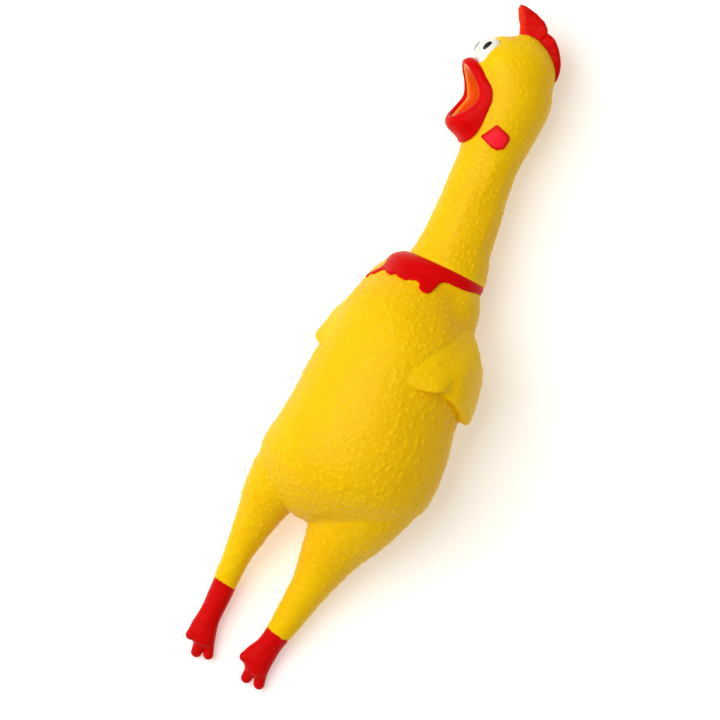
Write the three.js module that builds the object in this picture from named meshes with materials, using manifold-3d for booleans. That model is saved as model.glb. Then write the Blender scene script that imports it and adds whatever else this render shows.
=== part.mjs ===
// Squeaky rubber chicken, lying on its back, millimetres, +Y toward the comb, +Z up from the floor.
// Soft-vinyl mouldings are closed shells of one wall thickness, each joint a ball in a clearance socket.
import * as THREE from "three";
import { mergeVertices } from "three/addons/utils/BufferGeometryUtils.js";
import Module from "manifold-3d";

const wasm = await Module();
wasm.setup();

// ---------- driving dimensions (mm) ----------
const WALL = 2.0; // vinyl wall
const GAP = 0.35; // clearance at every joint and between painted parts
const SHIFT = [-10.2, -13.9, 0]; // moulding coordinates to the part's own frame
const ROLL = 28; // degrees the belly is turned toward -X

// Body sections, each in a plane across Y: [y, centre x, centre z, half width, half height]
const TORSO = [
  [52.2, 9.2, 21.4, 19.2, 19.2],
  [47.5, 9.0, 21.6, 19.3, 19.4],
  [44, 8.8, 22.4, 19.9, 20.4],
  [38, 8.2, 24.0, 23.2, 23.2],
  [30, 8.4, 26.6, 27.4, 26.6],
  [20, 9.4, 28.8, 30.2, 29.0],
  [8, 10.2, 30.2, 32.2, 30.7],
  [-8, 10.2, 30.9, 34.0, 31.5],
  [-22, 11.2, 31.0, 35.6, 31.6],
  [-35, 10.8, 30.6, 36.8, 31.2],
  [-44, 9.7, 29.6, 36.6, 30.0],
  [-50, 8.9, 28.6, 35.4, 27.4],
  [-54, 8.4, 27.8, 33.6, 24.4],
  [-57.5, 8.0, 27.4, 31.0, 20.6],
];
const NECK_LOW = [
  [64, 12.3, 21.2, 15.75, 15.3],
  [61, 12.5, 21.2, 16.0, 15.6],
  [57, 12.8, 21.3, 16.7, 16.2],
  [54.5, 12.9, 21.4, 17.2, 16.8],
  [52.7, 12.9, 21.4, 17.4, 17.2],
];
const NECK_UP = [
  [99, 9.4, 20.6, 13.35, 13.4],
  [96, 9.5, 20.6, 13.3, 13.4],
  [89, 10.1, 20.8, 13.5, 13.6],
  [80, 11.0, 21.0, 14.1, 14.1],
  [72, 11.5, 21.1, 14.6, 14.5],
  [66, 11.9, 21.2, 15.0, 14.9],
];
const HEAD = [
  [155.4, 2.4, 19.4, 3.0, 5.0],
  [153.6, 2.2, 19.4, 8.6, 8.8],
  [150.5, 2.4, 19.4, 12.8, 12.6],
  [146, 2.8, 19.3, 16.4, 15.6],
  [141, 3.0, 19.2, 18.2, 17.6],
  [135, 5.4, 19.1, 18.0, 18.3],
  [129, 7.5, 19.0, 16.6, 18.4],
  [122, 8.2, 19.1, 15.6, 17.8],
  [115, 8.3, 19.4, 15.1, 16.8],
  [108, 8.4, 19.9, 14.3, 15.4],
  [102, 9.0, 20.4, 13.4, 14.0],
  [97.5, 9.4, 20.6, 13.35, 13.4],
];
const LEG_L = [
  [-58, -12.6, 25.2, 13.4, 13.2],
  [-66, -14.9, 22.6, 11.4, 11.6],
  [-74, -15.6, 19.9, 9.3, 9.6],
  [-83, -16.2, 17.0, 7.5, 7.8],
  [-92, -16.6, 14.2, 6.1, 6.4],
  [-100, -16.7, 11.8, 5.4, 5.6],
  [-108, -16.3, 9.6, 5.1, 5.2],
  [-112, -16.3, 8.9, 5.1, 5.1],
];
const LEG_R = [
  [-56, 21.8, 27.2, 18.6, 18.0],
  [-66, 20.2, 23.6, 15.6, 15.4],
  [-74, 18.8, 20.8, 12.9, 12.9],
  [-83, 18.0, 17.8, 10.5, 10.6],
  [-92, 17.2, 15.0, 8.4, 8.5],
  [-100, 15.9, 12.8, 7.3, 7.2],
  [-108, 14.5, 10.8, 6.5, 6.3],
  [-114, 13.6, 9.8, 5.9, 5.8],
  [-118, 12.9, 9.2, 5.5, 5.5],
];
const FOOT_L = [
  [-109.5, -16.3, 9.2, 5.0, 5.0],
  [-113, -16.3, 8.6, 5.0, 4.9],
  [-118, -16.3, 7.6, 4.8, 4.6],
  [-123, -16.5, 6.7, 5.0, 4.5],
  [-127.5, -16.4, 6.0, 5.7, 4.5],
  [-131.5, -15.8, 5.5, 5.9, 4.4],
  [-134.2, -15.2, 5.2, 4.6, 3.8],
];
const FOOT_R = [
  [-115.5, 13.2, 9.4, 5.5, 5.4],
  [-119, 12.6, 8.6, 5.4, 5.2],
  [-123, 11.6, 7.6, 5.5, 4.8],
  [-127, 10.4, 6.7, 6.3, 4.6],
  [-131, 9.9, 6.0, 6.5, 4.6],
  [-134, 10.6, 5.6, 5.8, 4.4],
  [-136.2, 11.4, 5.4, 4.6, 3.8],
];
// Toes: [root, tip, root radius, tip radius]
const TOES_L = [
  [[-17.6, -128.0, 6.0], [-20.1, -132.3, 6.4], 3.3, 2.3],
  [[-15.8, -131.0, 5.2], [-14.9, -136.7, 4.4], 3.4, 2.5],
  [[-13.2, -130.5, 5.2], [-9.9, -136.1, 4.2], 3.0, 2.1],
];
const TOES_R = [
  [[7.6, -128.4, 6.6], [4.9, -131.2, 7.2], 3.4, 2.4],
  [[9.6, -132.5, 5.6], [9.2, -137.7, 4.8], 3.5, 2.6],
  [[12.9, -132.5, 5.4], [14.9, -137.8, 4.4], 3.4, 2.6],
];
// Ball joints: centre and ball radius
const HIP_L = { c: [-12.6, -58, 25.2], r: 13.6 };
const HIP_R = { c: [21.8, -56, 27.2], r: 18.6 };
const ANKLE_L = { c: [-16.3, -109.5, 9.2], r: 5.1 };
const ANKLE_R = { c: [13.2, -115.5, 9.4], r: 5.6 };
const NECK_BALL = { c: [11.9, 66, 21.2], r: 15.2 };
const HEAD_BALL = { c: [9.4, 97.5, 20.6], r: 13.6 };
const SWIVEL = [12.9, 21.4]; // x, z of the neck's turning axis
const SPIGOT_R = 12.6;
const COLLAR = { top: 52.0, band: 4.6, thick: 1.5 };
const BELLY = { y: -16, across: 19.5, along: 30 };
const WING_THICK = 5.4;
// Face frame: forward, up and near-side directions of the turned head
const FACE = { o: [4, 126, 19.3], tilt: 18 };
const MOUTH = { h: -2.9, halfH: 12.5, halfS: 10.4, corner: 10.0, top: 9.7, low: 5.6 };
const SQUEAK = { r: 9.9, wall: 1.3, y0: 31, y1: 52.2 };

// Colours
const YELLOW = 0xf3c413;
const RED = 0xd90a08;
const DEEP = 0xe07a12;
const CORAL = 0xe8283a;

// ---------- small tools ----------
function toSolid(geo) {
  const g = geo.clone();
  for (const k of Object.keys(g.attributes)) if (k !== "position") g.deleteAttribute(k);
  const m = mergeVertices(g, 1e-4);
  let tri = new Uint32Array(m.index.array);
  const keep = [];
  for (let i = 0; i < tri.length; i += 3)
    if (tri[i] !== tri[i + 1] && tri[i + 1] !== tri[i + 2] && tri[i] !== tri[i + 2])
      keep.push(tri[i], tri[i + 1], tri[i + 2]);
  tri = new Uint32Array(keep);
  const make = (t) =>
    new wasm.Manifold(
      new wasm.Mesh({
        numProp: 3,
        vertProperties: new Float32Array(m.attributes.position.array),
        triVerts: t,
      }),
    );
  let s = make(tri);
  if (s.volume() < 0) {
    for (let i = 0; i < tri.length; i += 3) [tri[i + 1], tri[i + 2]] = [tri[i + 2], tri[i + 1]];
    s = make(tri);
  }
  return s;
}
function toGeometry(solid) {
  const m = solid.simplify(0.03).getMesh();
  const g = new THREE.BufferGeometry();
  const n = m.vertProperties.length / m.numProp;
  const pos = new Float32Array(n * 3);
  for (let i = 0; i < n; i++)
    for (let k = 0; k < 3; k++) pos[i * 3 + k] = m.vertProperties[i * m.numProp + k] + SHIFT[k];
  g.setAttribute("position", new THREE.BufferAttribute(pos, 3));
  g.setIndex(new THREE.BufferAttribute(new Uint32Array(m.triVerts), 1));
  g.computeVertexNormals();
  return g;
}
// Smooth reading of a section table at y
function at(table, y) {
  const t = table;
  const n = t.length;
  if (y >= t[0][0]) return t[0].slice(1);
  if (y <= t[n - 1][0]) return t[n - 1].slice(1);
  let i = 0;
  while (t[i + 1][0] > y) i++;
  const h = t[i + 1][0] - t[i][0];
  const u = (y - t[i][0]) / h;
  const slope = (j, k) => {
    if (j <= 0) return (t[1][k] - t[0][k]) / (t[1][0] - t[0][0]);
    if (j >= n - 1) return (t[n - 1][k] - t[n - 2][k]) / (t[n - 1][0] - t[n - 2][0]);
    const a = (t[j][k] - t[j - 1][k]) / (t[j][0] - t[j - 1][0]);
    const b = (t[j + 1][k] - t[j][k]) / (t[j + 1][0] - t[j][0]);
    return a * b <= 0 && k > 2 ? 0 : (a + b) / 2;
  };
  return [1, 2, 3, 4].map((k) => {
    const m0 = slope(i, k) * h;
    const m1 = slope(i + 1, k) * h;
    const u2 = u * u;
    const u3 = u2 * u;
    return (
      (2 * u3 - 3 * u2 + 1) * t[i][k] +
      (u3 - 2 * u2 + u) * m0 +
      (-2 * u3 + 3 * u2) * t[i + 1][k] +
      (u3 - u2) * m1
    );
  });
}
// A closed body through the sections, flat-ended or round-ended, with the sections grown by d
function loft(table, { hi, lo, d = 0, segs = 28, step = 5, capHi = 0, capLo = 0, turn } = {}) {
  const top = hi ?? table[0][0];
  const bot = lo ?? table[table.length - 1][0];
  const rows = [];
  const n = Math.max(2, Math.round((top - capHi - (bot + capLo)) / step));
  for (let i = 0; i < 4 && capHi > 0; i++) {
    const a = ((i + 0.35) / 4) * (Math.PI / 2);
    rows.push([top - capHi * (1 - Math.cos(a)), Math.sin(a)]);
  }
  for (let i = 0; i <= n; i++) rows.push([top - capHi - ((top - capHi - bot - capLo) * i) / n, 1]);
  for (let i = 3; i >= 0 && capLo > 0; i--) {
    const a = ((i + 0.35) / 4) * (Math.PI / 2);
    rows.push([bot + capLo * (1 - Math.cos(a)), Math.sin(a)]);
  }
  const all = [[rows[0][0], 0], ...rows, [rows[rows.length - 1][0], 0]];
  const g = new THREE.SphereGeometry(1, segs, all.length - 1);
  const p = g.attributes.position;
  for (let iy = 0; iy < all.length; iy++)
    for (let ix = 0; ix <= segs; ix++) {
      const [y, k] = all[iy];
      const [xc, zc, a, c] = at(table, y);
      const u = ((ix % segs) / segs) * 2 * Math.PI;
      p.setXYZ(
        iy * (segs + 1) + ix,
        xc - (a + d) * k * Math.cos(u),
        y,
        zc + (c + d) * k * Math.sin(u),
      );
    }
  if (turn) {
    g.translate(-turn.c[0], -turn.c[1], -turn.c[2]);
    g.rotateX((turn.deg * Math.PI) / 180);
    g.translate(...turn.c);
  }
  return toSolid(g);
}
const ball = (c, r, w = 28, h = 18) =>
  toSolid(new THREE.SphereGeometry(r, w, h).rotateX(0.13).translate(c[0], c[1], c[2]));
const egg = (c, rx, ry, rz, rot, w = 20, h = 14) => {
  const g = new THREE.SphereGeometry(1, w, h).scale(rx, ry, rz);
  if (rot) g.applyMatrix4(rot);
  return toSolid(g.translate(c[0], c[1], c[2]));
};
const box = (x0, x1, y0, y1, z0, z1) =>
  toSolid(
    new THREE.BoxGeometry(x1 - x0, y1 - y0, z1 - z0).translate(
      (x0 + x1) / 2,
      (y0 + y1) / 2,
      (z0 + z1) / 2,
    ),
  );
// A cylinder whose axis is Y
const rod = (x, z, r, y0, y1, segs = 36) =>
  toSolid(new THREE.CylinderGeometry(r, r, y1 - y0, segs).translate(x, (y0 + y1) / 2, z));
const above = (y) => box(-200, 200, y, 400, -200, 200);
const below = (y) => box(-200, 200, -400, y, -200, 200);
const floorUp = () => box(-200, 200, -400, 400, 0, 200);

// ---------- torso, its neck ring and the belly panel ----------
const rollRad = (ROLL * Math.PI) / 180;
const BELLY_DIR = new THREE.Vector3(-Math.sin(rollRad), 0, Math.cos(rollRad));
const LEFT_DIR = new THREE.Vector3(Math.cos(rollRad), 0, Math.sin(rollRad));
const MID = new THREE.Vector3(10.2, 0, 30.6);

const torsoOut = loft(TORSO, { segs: 36, step: 7 });
const torsoIn = loft(TORSO, { d: -WALL, hi: 50.0, lo: -55.5, segs: 28, step: 10 });
let torsoShell = torsoOut.subtract(torsoIn);
// round hole for the neck's spigot
torsoShell = torsoShell.subtract(rod(SWIVEL[0], SWIVEL[1], SPIGOT_R + GAP, 46, 60, 40));
// hip sockets
for (const h of [HIP_L, HIP_R]) torsoShell = torsoShell.subtract(ball(h.c, h.r + GAP, 32, 20));
// room for each thigh as it swings down
for (const [t, h] of [[LEG_L, HIP_L], [LEG_R, HIP_R]])
  for (const deg of [6, 13])
    torsoShell = torsoShell.subtract(
      loft(t, { d: 0.7, hi: h.c[1], lo: -76, segs: 20, step: 6, turn: { c: h.c, deg } }),
    );
// lying flat on its back
torsoShell = torsoShell.intersect(floorUp());

// belly panel: an oval prism along the belly direction
const ovalBasis = new THREE.Matrix4().makeBasis(LEFT_DIR, new THREE.Vector3(0, 1, 0), new THREE.Vector3().crossVectors(LEFT_DIR, new THREE.Vector3(0, 1, 0)));
function ovalPrism(grow) {
  const g = new THREE.CylinderGeometry(1, 1, 60, 40).rotateX(Math.PI / 2);
  g.scale(BELLY.across + grow, BELLY.along + grow, 1);
  g.applyMatrix4(ovalBasis);
  return toSolid(
    g.translate(MID.x + BELLY_DIR.x * 40, BELLY.y, MID.z + BELLY_DIR.z * 40),
  );
}
const bellyPanel = torsoShell.intersect(ovalPrism(0));
torsoShell = torsoShell.subtract(ovalPrism(GAP + 0.05));

// ---------- collar band with its scalloped front ----------
// azimuth (degrees from +Z toward +X) to the collar's lower edge in y
const SCALLOP = [
  [-180, 47.4], [-150, 46.6], [-120, 43.0], [-100, 38.0], [-88, 36.0], [-74, 38.6],
  [-62, 41.4], [-54, 41.2], [-40, 42.4], [-22, 42.3], [-10, 41.2], [-2, 40.2], [6, 41.0],
  [14, 44.2], [22, 47.2], [40, 47.6], [90, 47.4], [140, 47.4], [180, 47.4],
];
function edgeAt(az) {
  let i = 0;
  while (i < SCALLOP.length - 2 && SCALLOP[i + 1][0] < az) i++;
  const [a0, e0] = SCALLOP[i];
  const [a1, e1] = SCALLOP[i + 1];
  const u = Math.min(1, Math.max(0, (az - a0) / (a1 - a0)));
  return e0 + (e1 - e0) * (0.5 - 0.5 * Math.cos(Math.PI * u));
}
function collarSkin(inner, outer) {
  // a ring of four edges: inner low, inner high, outer high, outer low
  const segs = 60;
  const g = new THREE.TorusGeometry(1, 0.3, 4, segs);
  const p = g.attributes.position;
  for (let j = 0; j <= 4; j++)
    for (let i = 0; i <= segs; i++) {
      const az = -180 + (360 * (i % segs)) / segs;
      const low = edgeAt(az);
      const hiY = COLLAR.top;
      const k = j % 4;
      const y = k === 1 || k === 2 ? hiY : low;
      const grow = k === 0 || k === 1 ? inner : outer;
      const [xc, zc, a, c] = at(TORSO, y);
      const r = (az * Math.PI) / 180;
      p.setXYZ(j * (segs + 1) + i, xc + (a + grow) * Math.sin(r), y, zc + (c + grow) * Math.cos(r));
    }
  return toSolid(g);
}
const collar = collarSkin(-0.6, COLLAR.thick + 0.3)
  .subtract(loft(TORSO, { d: GAP + 0.25, hi: 56, lo: 20, segs: 36, step: 4 }))
  .intersect(floorUp());

// ---------- wings ----------
const WING = [
  [27, 0.3], [28.5, 3], [28, 8], [26, 12.5], [22, 18.5], [16.5, 24.3], [11, 29], [4, 33.5],
  [-3, 36.8], [-9, 36.2], [-14, 31], [-17.5, 22], [-18.5, 12], [-17.5, 2], [-13.5, -3],
  [-8, -1.8], [-2, 0.6], [4, 2.8], [9, 3.4], [14, 5.6], [20, 2.2],
];
const wingBand = loft(TORSO, { d: WING_THICK, hi: 48, lo: -20, segs: 32, step: 6 }).subtract(
  loft(TORSO, { d: GAP + 0.15, hi: 52, lo: -30, segs: 32, step: 7 }),
);
function wingPrism(side) {
  const shape = new THREE.Shape(WING.map(([b, y]) => new THREE.Vector2(b, y)));
  const g = new THREE.ExtrudeGeometry(shape, { depth: 46, bevelEnabled: false, steps: 1 });
  // shape x -> belly direction, shape y -> Y, depth -> the chicken's left or right
  const out = LEFT_DIR.clone().multiplyScalar(side);
  const m = new THREE.Matrix4().makeBasis(BELLY_DIR, new THREE.Vector3(0, 1, 0), out);
  g.applyMatrix4(m);
  g.translate(MID.x + out.x * 4, 0, MID.z - 1.6 + out.z * 4);
  return toSolid(g);
}
const wingL = wingBand.intersect(wingPrism(1)).intersect(floorUp());
const wingR = wingBand.intersect(wingPrism(-1)).intersect(floorUp());

// ---------- legs and feet ----------
function leg(table, hip, ankle, cutY) {
  const out = loft(table, { hi: hip.c[1], lo: ankle.c[1] + 3.0, segs: 20, step: 7.5 }).add(
    ball(hip.c, hip.r, 26, 16),
  );
  const inn = loft(table, { d: -WALL, hi: hip.c[1], lo: ankle.c[1] + 8, segs: 14, step: 10 }).add(
    ball(hip.c, hip.r - WALL, 18, 12),
  );
  return out
    .subtract(inn)
    .subtract(above(cutY))
    .subtract(ball(ankle.c, ankle.r + GAP, 22, 14));
}
const legL = leg(LEG_L, HIP_L, ANKLE_L, HIP_L.c[1] + 8.5);
const legR = leg(LEG_R, HIP_R, ANKLE_R, HIP_R.c[1] + 11.5);

function toe([a, b, ra, rb]) {
  const d = new THREE.Vector3(b[0] - a[0], b[1] - a[1], b[2] - a[2]);
  const len = d.length();
  const rows = 7;
  const g = new THREE.SphereGeometry(1, 12, rows);
  const p = g.attributes.position;
  for (let iy = 0; iy <= rows; iy++)
    for (let ix = 0; ix <= 12; ix++) {
      const t = iy / rows;
      const s = (1 - Math.cos(Math.PI * t)) / 2;
      const r = (ra + (rb - ra) * s) * Math.sin(Math.PI * t) ** 0.6;
      const u = ((ix % 12) / 12) * 2 * Math.PI;
      const k = iy === 0 || iy === rows ? 0 : r;
      p.setXYZ(iy * 13 + ix, -k * Math.cos(u), -s * (len + ra * 0.6 + rb) + ra * 0.6, k * Math.sin(u));
    }
  g.applyQuaternion(
    new THREE.Quaternion().setFromUnitVectors(new THREE.Vector3(0, -1, 0), d.normalize()),
  );
  return toSolid(g.translate(a[0], a[1], a[2]));
}
function foot(table, ankle, toes) {
  let f = loft(table, { hi: ankle.c[1], segs: 16, step: 5, capLo: 3.2 }).add(
    ball(ankle.c, ankle.r, 18, 12),
  );
  for (const t of toes) f = f.add(toe(t));
  return f.intersect(floorUp());
}
const footL = foot(FOOT_L, ANKLE_L, TOES_L);
const footR = foot(FOOT_R, ANKLE_R, TOES_R);

// ---------- neck ----------
const spigot = rod(SWIVEL[0], SWIVEL[1], SPIGOT_R, 41, 54.4)
  .add(rod(SWIVEL[0], SWIVEL[1], SPIGOT_R + 1.0, 41, 43.4))
  .subtract(rod(SWIVEL[0], SWIVEL[1], SPIGOT_R - WALL, 38, 58));
const neckLow = loft(NECK_LOW, { hi: 62, segs: 30, step: 3 })
  .subtract(loft(NECK_LOW, { d: -WALL, hi: 63, lo: 54.8, segs: 26, step: 4 }))
  .subtract(rod(SWIVEL[0], SWIVEL[1], SPIGOT_R - WALL, 50, 58))
  .add(spigot)
  .subtract(ball(NECK_BALL.c, NECK_BALL.r + GAP, 30, 20));
const neckUp = loft(NECK_UP, { hi: 93.9, lo: 66, segs: 26, step: 6 })
  .add(ball(NECK_BALL.c, NECK_BALL.r, 26, 18))
  .subtract(
    loft(NECK_UP, { d: -WALL, hi: 97, lo: 64, segs: 20, step: 8 }).add(
      ball(NECK_BALL.c, NECK_BALL.r - WALL, 20, 14),
    ),
  )
  .subtract(below(57.6))
  .subtract(ball(HEAD_BALL.c, HEAD_BALL.r + GAP, 30, 20));

// ---------- head ----------
const tilt = (FACE.tilt * Math.PI) / 180;
const FWD = new THREE.Vector3(-Math.cos(tilt), 0, Math.sin(tilt));
const UP = new THREE.Vector3(0, 1, 0);
const SIDE = new THREE.Vector3(Math.sin(tilt), 0, Math.cos(tilt));
const face = (f, h, s) =>
  new THREE.Vector3(...FACE.o)
    .addScaledVector(FWD, f)
    .addScaledVector(UP, h)
    .addScaledVector(SIDE, s);
const faceBasis = new THREE.Matrix4().makeBasis(FWD, UP, SIDE);

function lipPoint(v, k = 1) {
  const s = Math.sin(v);
  const c = Math.cos(v);
  const f = MOUTH.corner + (s > 0 ? MOUTH.top : MOUTH.low) * Math.abs(s) ** 1.5;
  return [f, MOUTH.h + MOUTH.halfH * s * k, MOUTH.halfS * c * k];
}
function lipRing(grow) {
  const tub = 36;
  const rad = 8;
  const g = new THREE.TorusGeometry(1, 0.3, rad, tub);
  const p = g.attributes.position;
  for (let j = 0; j <= rad; j++)
    for (let i = 0; i <= tub; i++) {
      const v = ((i % tub) / tub) * 2 * Math.PI;
      const u = ((j % rad) / rad) * 2 * Math.PI;
      const [f, h, s] = lipPoint(v);
      const n = new THREE.Vector2(Math.sin(v) / MOUTH.halfH, Math.cos(v) / MOUTH.halfS).normalize();
      const q = (2.5 + grow) * Math.cos(u);
      const w = face(f + (2.6 + grow) * Math.sin(u), h + n.x * q, s + n.y * q);
      p.setXYZ(j * (tub + 1) + i, w.x, w.y, w.z);
    }
  return toSolid(g);
}
// The mouth's hollow: rows of [share of the ring, forward offset or depth]
function throat(grow, open) {
  const rows = [
    [0, open ? 26 : null, 0.84],
    [0.84, open ? 26 : null, 0.84],
    [0.84, null, 0.84],
    [0.82, -3.5, 1],
    [0.76, -8, 1],
    [0.6, -13, 1],
    [0.36, -16, 1],
    [0, -17.2, 1],
  ];
  const segs = 24;
  const g = new THREE.SphereGeometry(1, segs, rows.length - 1);
  const p = g.attributes.position;
  for (let iy = 0; iy < rows.length; iy++)
    for (let ix = 0; ix <= segs; ix++) {
      const v = ((ix % segs) / segs) * 2 * Math.PI;
      const [k, off] = rows[iy];
      const [f0, h0, s0] = lipPoint(v, k);
      const mid = MOUTH.corner + 3;
      let f;
      if (iy <= 1) f = open ? 26 : k === 0 ? mid - 0.8 : f0 - 1.0;
      else if (iy === 2) f = f0 - 1.0;
      else f = (f0 - mid) * Math.max(0, 1 + off / 9) + mid + off - (off < -15 ? grow : 0);
      const n = new THREE.Vector2(Math.sin(v) * MOUTH.halfH, Math.cos(v) * MOUTH.halfS).normalize();
      const q = k === 0 ? 0 : grow;
      const w = face(f, h0 + n.x * q, s0 + n.y * q);
      p.setXYZ(iy * (segs + 1) + ix, w.x, w.y, w.z);
    }
  return toSolid(g);
}
const lips = lipRing(0);
const lining = throat(1.6, false)
  .subtract(throat(0, true))
  .subtract(lipRing(GAP));

// look: where the pupil sits on the white, [forward, up, across]
function eye(s, f, h, look) {
  const c = face(f, h, s);
  return { c: [c.x, c.y, c.z], look };
}
const EYE_N = eye(3.7, 14.8, 16.6, [3.5, 3.1, 1.6]);
const EYE_F = eye(-3.7, 14.8, 16.6, [4.4, 1.9, -0.35]);
const eyeWhite = (e, d) => egg(e.c, 5.0 + d, 7.0 + d, 3.6 + d, faceBasis, 16, 12);
const pupil = (e, d) => {
  const [f, h, s] = e.look;
  const c = new THREE.Vector3(...e.c).addScaledVector(FWD, f).addScaledVector(UP, h).addScaledVector(SIDE, s);
  return egg([c.x, c.y, c.z], 1.3 + d, 2.5 + d, 1.1 + d, faceBasis, 12, 8);
};
const headSolid = (d, extra = {}) => loft(HEAD, { d, hi: 155.4, lo: 97.5, segs: 28, step: 5, capHi: 1.2, ...extra });

const COMB = [
  [-6.3, 168.0], [-6.3, 165.6], [-4.4, 162.1], [-3.4, 159.4], [-3.6, 156], [-2, 151], [6, 149],
  [13, 146.5], [17, 142.5], [20.3, 143.2], [20.7, 145.8], [19.8, 149], [18.6, 152.6], [16.8, 155.4],
  [14.6, 158.3], [11.9, 160.1], [8.9, 161.1], [7.4, 162.8], [4.7, 165.2], [1.2, 166.9], [-3.6, 168.2],
];
function combSolid() {
  const shape = new THREE.Shape(COMB.map(([x, y]) => new THREE.Vector2(x, y)));
  const g = new THREE.ExtrudeGeometry(shape, {
    depth: 3.6,
    bevelEnabled: true,
    bevelThickness: 1.6,
    bevelSize: 1.2,
    bevelOffset: -1.2,
    bevelSegments: 3,
    steps: 1,
  });
  // depth runs toward the near side; the outline keeps its plan view
  g.translate(0, 0, -1.8);
  const p = g.attributes.position;
  for (let i = 0; i < p.count; i++) {
    const x = p.getX(i);
    const z = p.getZ(i);
    p.setXYZ(i, x + z * Math.sin(tilt), p.getY(i), 20.4 + z * Math.cos(tilt));
  }
  return toSolid(g);
}
const comb = combSolid().subtract(headSolid(GAP + 0.15)).subtract(above(400));

let head = headSolid(0)
  .add(ball(HEAD_BALL.c, HEAD_BALL.r, 26, 18))
  .subtract(
    headSolid(-WALL, { hi: 152.8, segs: 20, step: 8, lo: 95 }).add(
      ball(HEAD_BALL.c, HEAD_BALL.r - WALL, 18, 12),
    ),
  )
  .subtract(below(90.2))
  .subtract(throat(1.6 + GAP, true))
  .subtract(lipRing(GAP))
  .subtract(pupil(EYE_N, GAP))
  .subtract(pupil(EYE_F, GAP))
  .subtract(eyeWhite(EYE_N, GAP))
  .subtract(eyeWhite(EYE_F, GAP));

const whiteCut = (e) =>
  eyeWhite(e, 0)
    .subtract(pupil(e, GAP))
    .subtract(lipRing(GAP));
// the two whites meet on the face's middle plane
function half(side) {
  const g = new THREE.BoxGeometry(80, 80, 80).translate(0, 0, side * (40 + GAP / 2));
  g.applyMatrix4(faceBasis);
  return toSolid(g.translate(...FACE.o));
}
const whiteN = whiteCut(EYE_N).intersect(half(1));
const whiteF = whiteCut(EYE_F).intersect(half(-1));
const pupilN = pupil(EYE_N, 0);
const pupilF = pupil(EYE_F, 0);

// cheek patches: [forward, height] outline on each cheek
const PATCH = [
  [2.7, -9.9], [-3.8, -11.8], [-3.3, -17.2], [-1.8, -18.8], [1.8, -18.5], [6.0, -17.1],
];
function patch(side) {
  const shape = new THREE.Shape(PATCH.map(([f, h]) => new THREE.Vector2(f, h)));
  const g = new THREE.ExtrudeGeometry(shape, { depth: 16, bevelEnabled: false, steps: 1 });
  g.translate(0, 0, side > 0 ? 8 : -24);
  g.applyMatrix4(faceBasis);
  return headSolid(0.95)
    .subtract(headSolid(0.3))
    .intersect(toSolid(g.translate(...FACE.o)))
    .intersect(floorUp());
}

// ---------- squeaker inside the neck's spigot ----------
const [sx, sz] = SWIVEL;
const barrel = rod(sx, sz, SQUEAK.r, SQUEAK.y0, SQUEAK.y1, 32).subtract(
  rod(sx, sz, SQUEAK.r - SQUEAK.wall, SQUEAK.y0 - 2, SQUEAK.y1 - 2.6, 32).add(
    rod(sx, sz, 4.2, SQUEAK.y0, SQUEAK.y1 + 2, 24),
  ),
);
const rIn = SQUEAK.r - SQUEAK.wall - GAP;
const reedBlock = rod(sx, sz, rIn, 34, 48.6, 32)
  .intersect(box(-50, 80, 30, 60, -20, sz - 0.4))
  .subtract(box(sx - 2.2, sx + 2.2, 30, 46, sz - 4.6, sz + 2));
const reed = box(sx - 3.2, sx + 3.2, 34.4, 48.2, sz - 0.05, sz + 0.3);
const wedge = rod(sx, sz, rIn, 43.4, 48.4, 32).intersect(box(-50, 80, 30, 60, sz + 0.65, 60));
const cap = rod(sx, sz, SQUEAK.r + 0.6, 27.8, SQUEAK.y0 - GAP, 32)
  .add(rod(sx, sz, rIn, 27.8, 33.4, 32))
  .subtract(rod(sx, sz, 2.0, 25, 37, 16))
  .subtract(rod(sx - 4.6, sz, 1.3, 25, 37, 12))
  .subtract(rod(sx + 4.6, sz, 1.3, 25, 37, 12))
  .subtract(rod(sx, sz - 4.6, 1.3, 25, 37, 12))
  .subtract(rod(sx, sz + 4.6, 1.3, 25, 37, 12));

// ---------- assembly ----------
const group = new THREE.Group();
function put(name, solid, colour, roughness = 0.45) {
  const m = new THREE.Mesh(
    toGeometry(solid),
    new THREE.MeshStandardMaterial({ color: colour, roughness, metalness: 0 }),
  );
  m.name = name;
  group.add(m);
}
put("torso_skin", torsoShell, YELLOW);
put("belly_panel", bellyPanel, YELLOW);
put("collar_band", collar, RED);
put("wing_left", wingL, YELLOW);
put("wing_right", wingR, YELLOW);
put("leg_left", legR, YELLOW);
put("leg_right", legL, YELLOW);
put("foot_left", footR, RED);
put("foot_right", footL, RED);
put("neck_lower", neckLow, YELLOW);
put("neck_upper", neckUp, YELLOW);
put("head_skin", head, YELLOW);
put("comb", comb, RED);
put("beak_lips", lips, RED);
put("mouth_lining", lining, DEEP);
put("eye_white_left", whiteN, 0xf6f4ee);
put("eye_white_right", whiteF, 0xf6f4ee);
put("pupil_left", pupilN, 0x15110f);
put("pupil_right", pupilF, 0x15110f);
put("cheek_patch_left", patch(1), CORAL);
put("cheek_patch_right", patch(-1), CORAL);
put("squeaker_barrel", barrel, 0xf2f2ea);
put("squeaker_reed_block", reedBlock, 0xf2f2ea);
put("squeaker_reed", reed, 0xd8d8d0);
put("squeaker_wedge", wedge, 0xf2f2ea);
put("squeaker_cap", cap, 0xf2f2ea);

export default group;
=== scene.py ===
import math

import bpy
import numpy as np
from mathutils import Matrix, Vector


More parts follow.
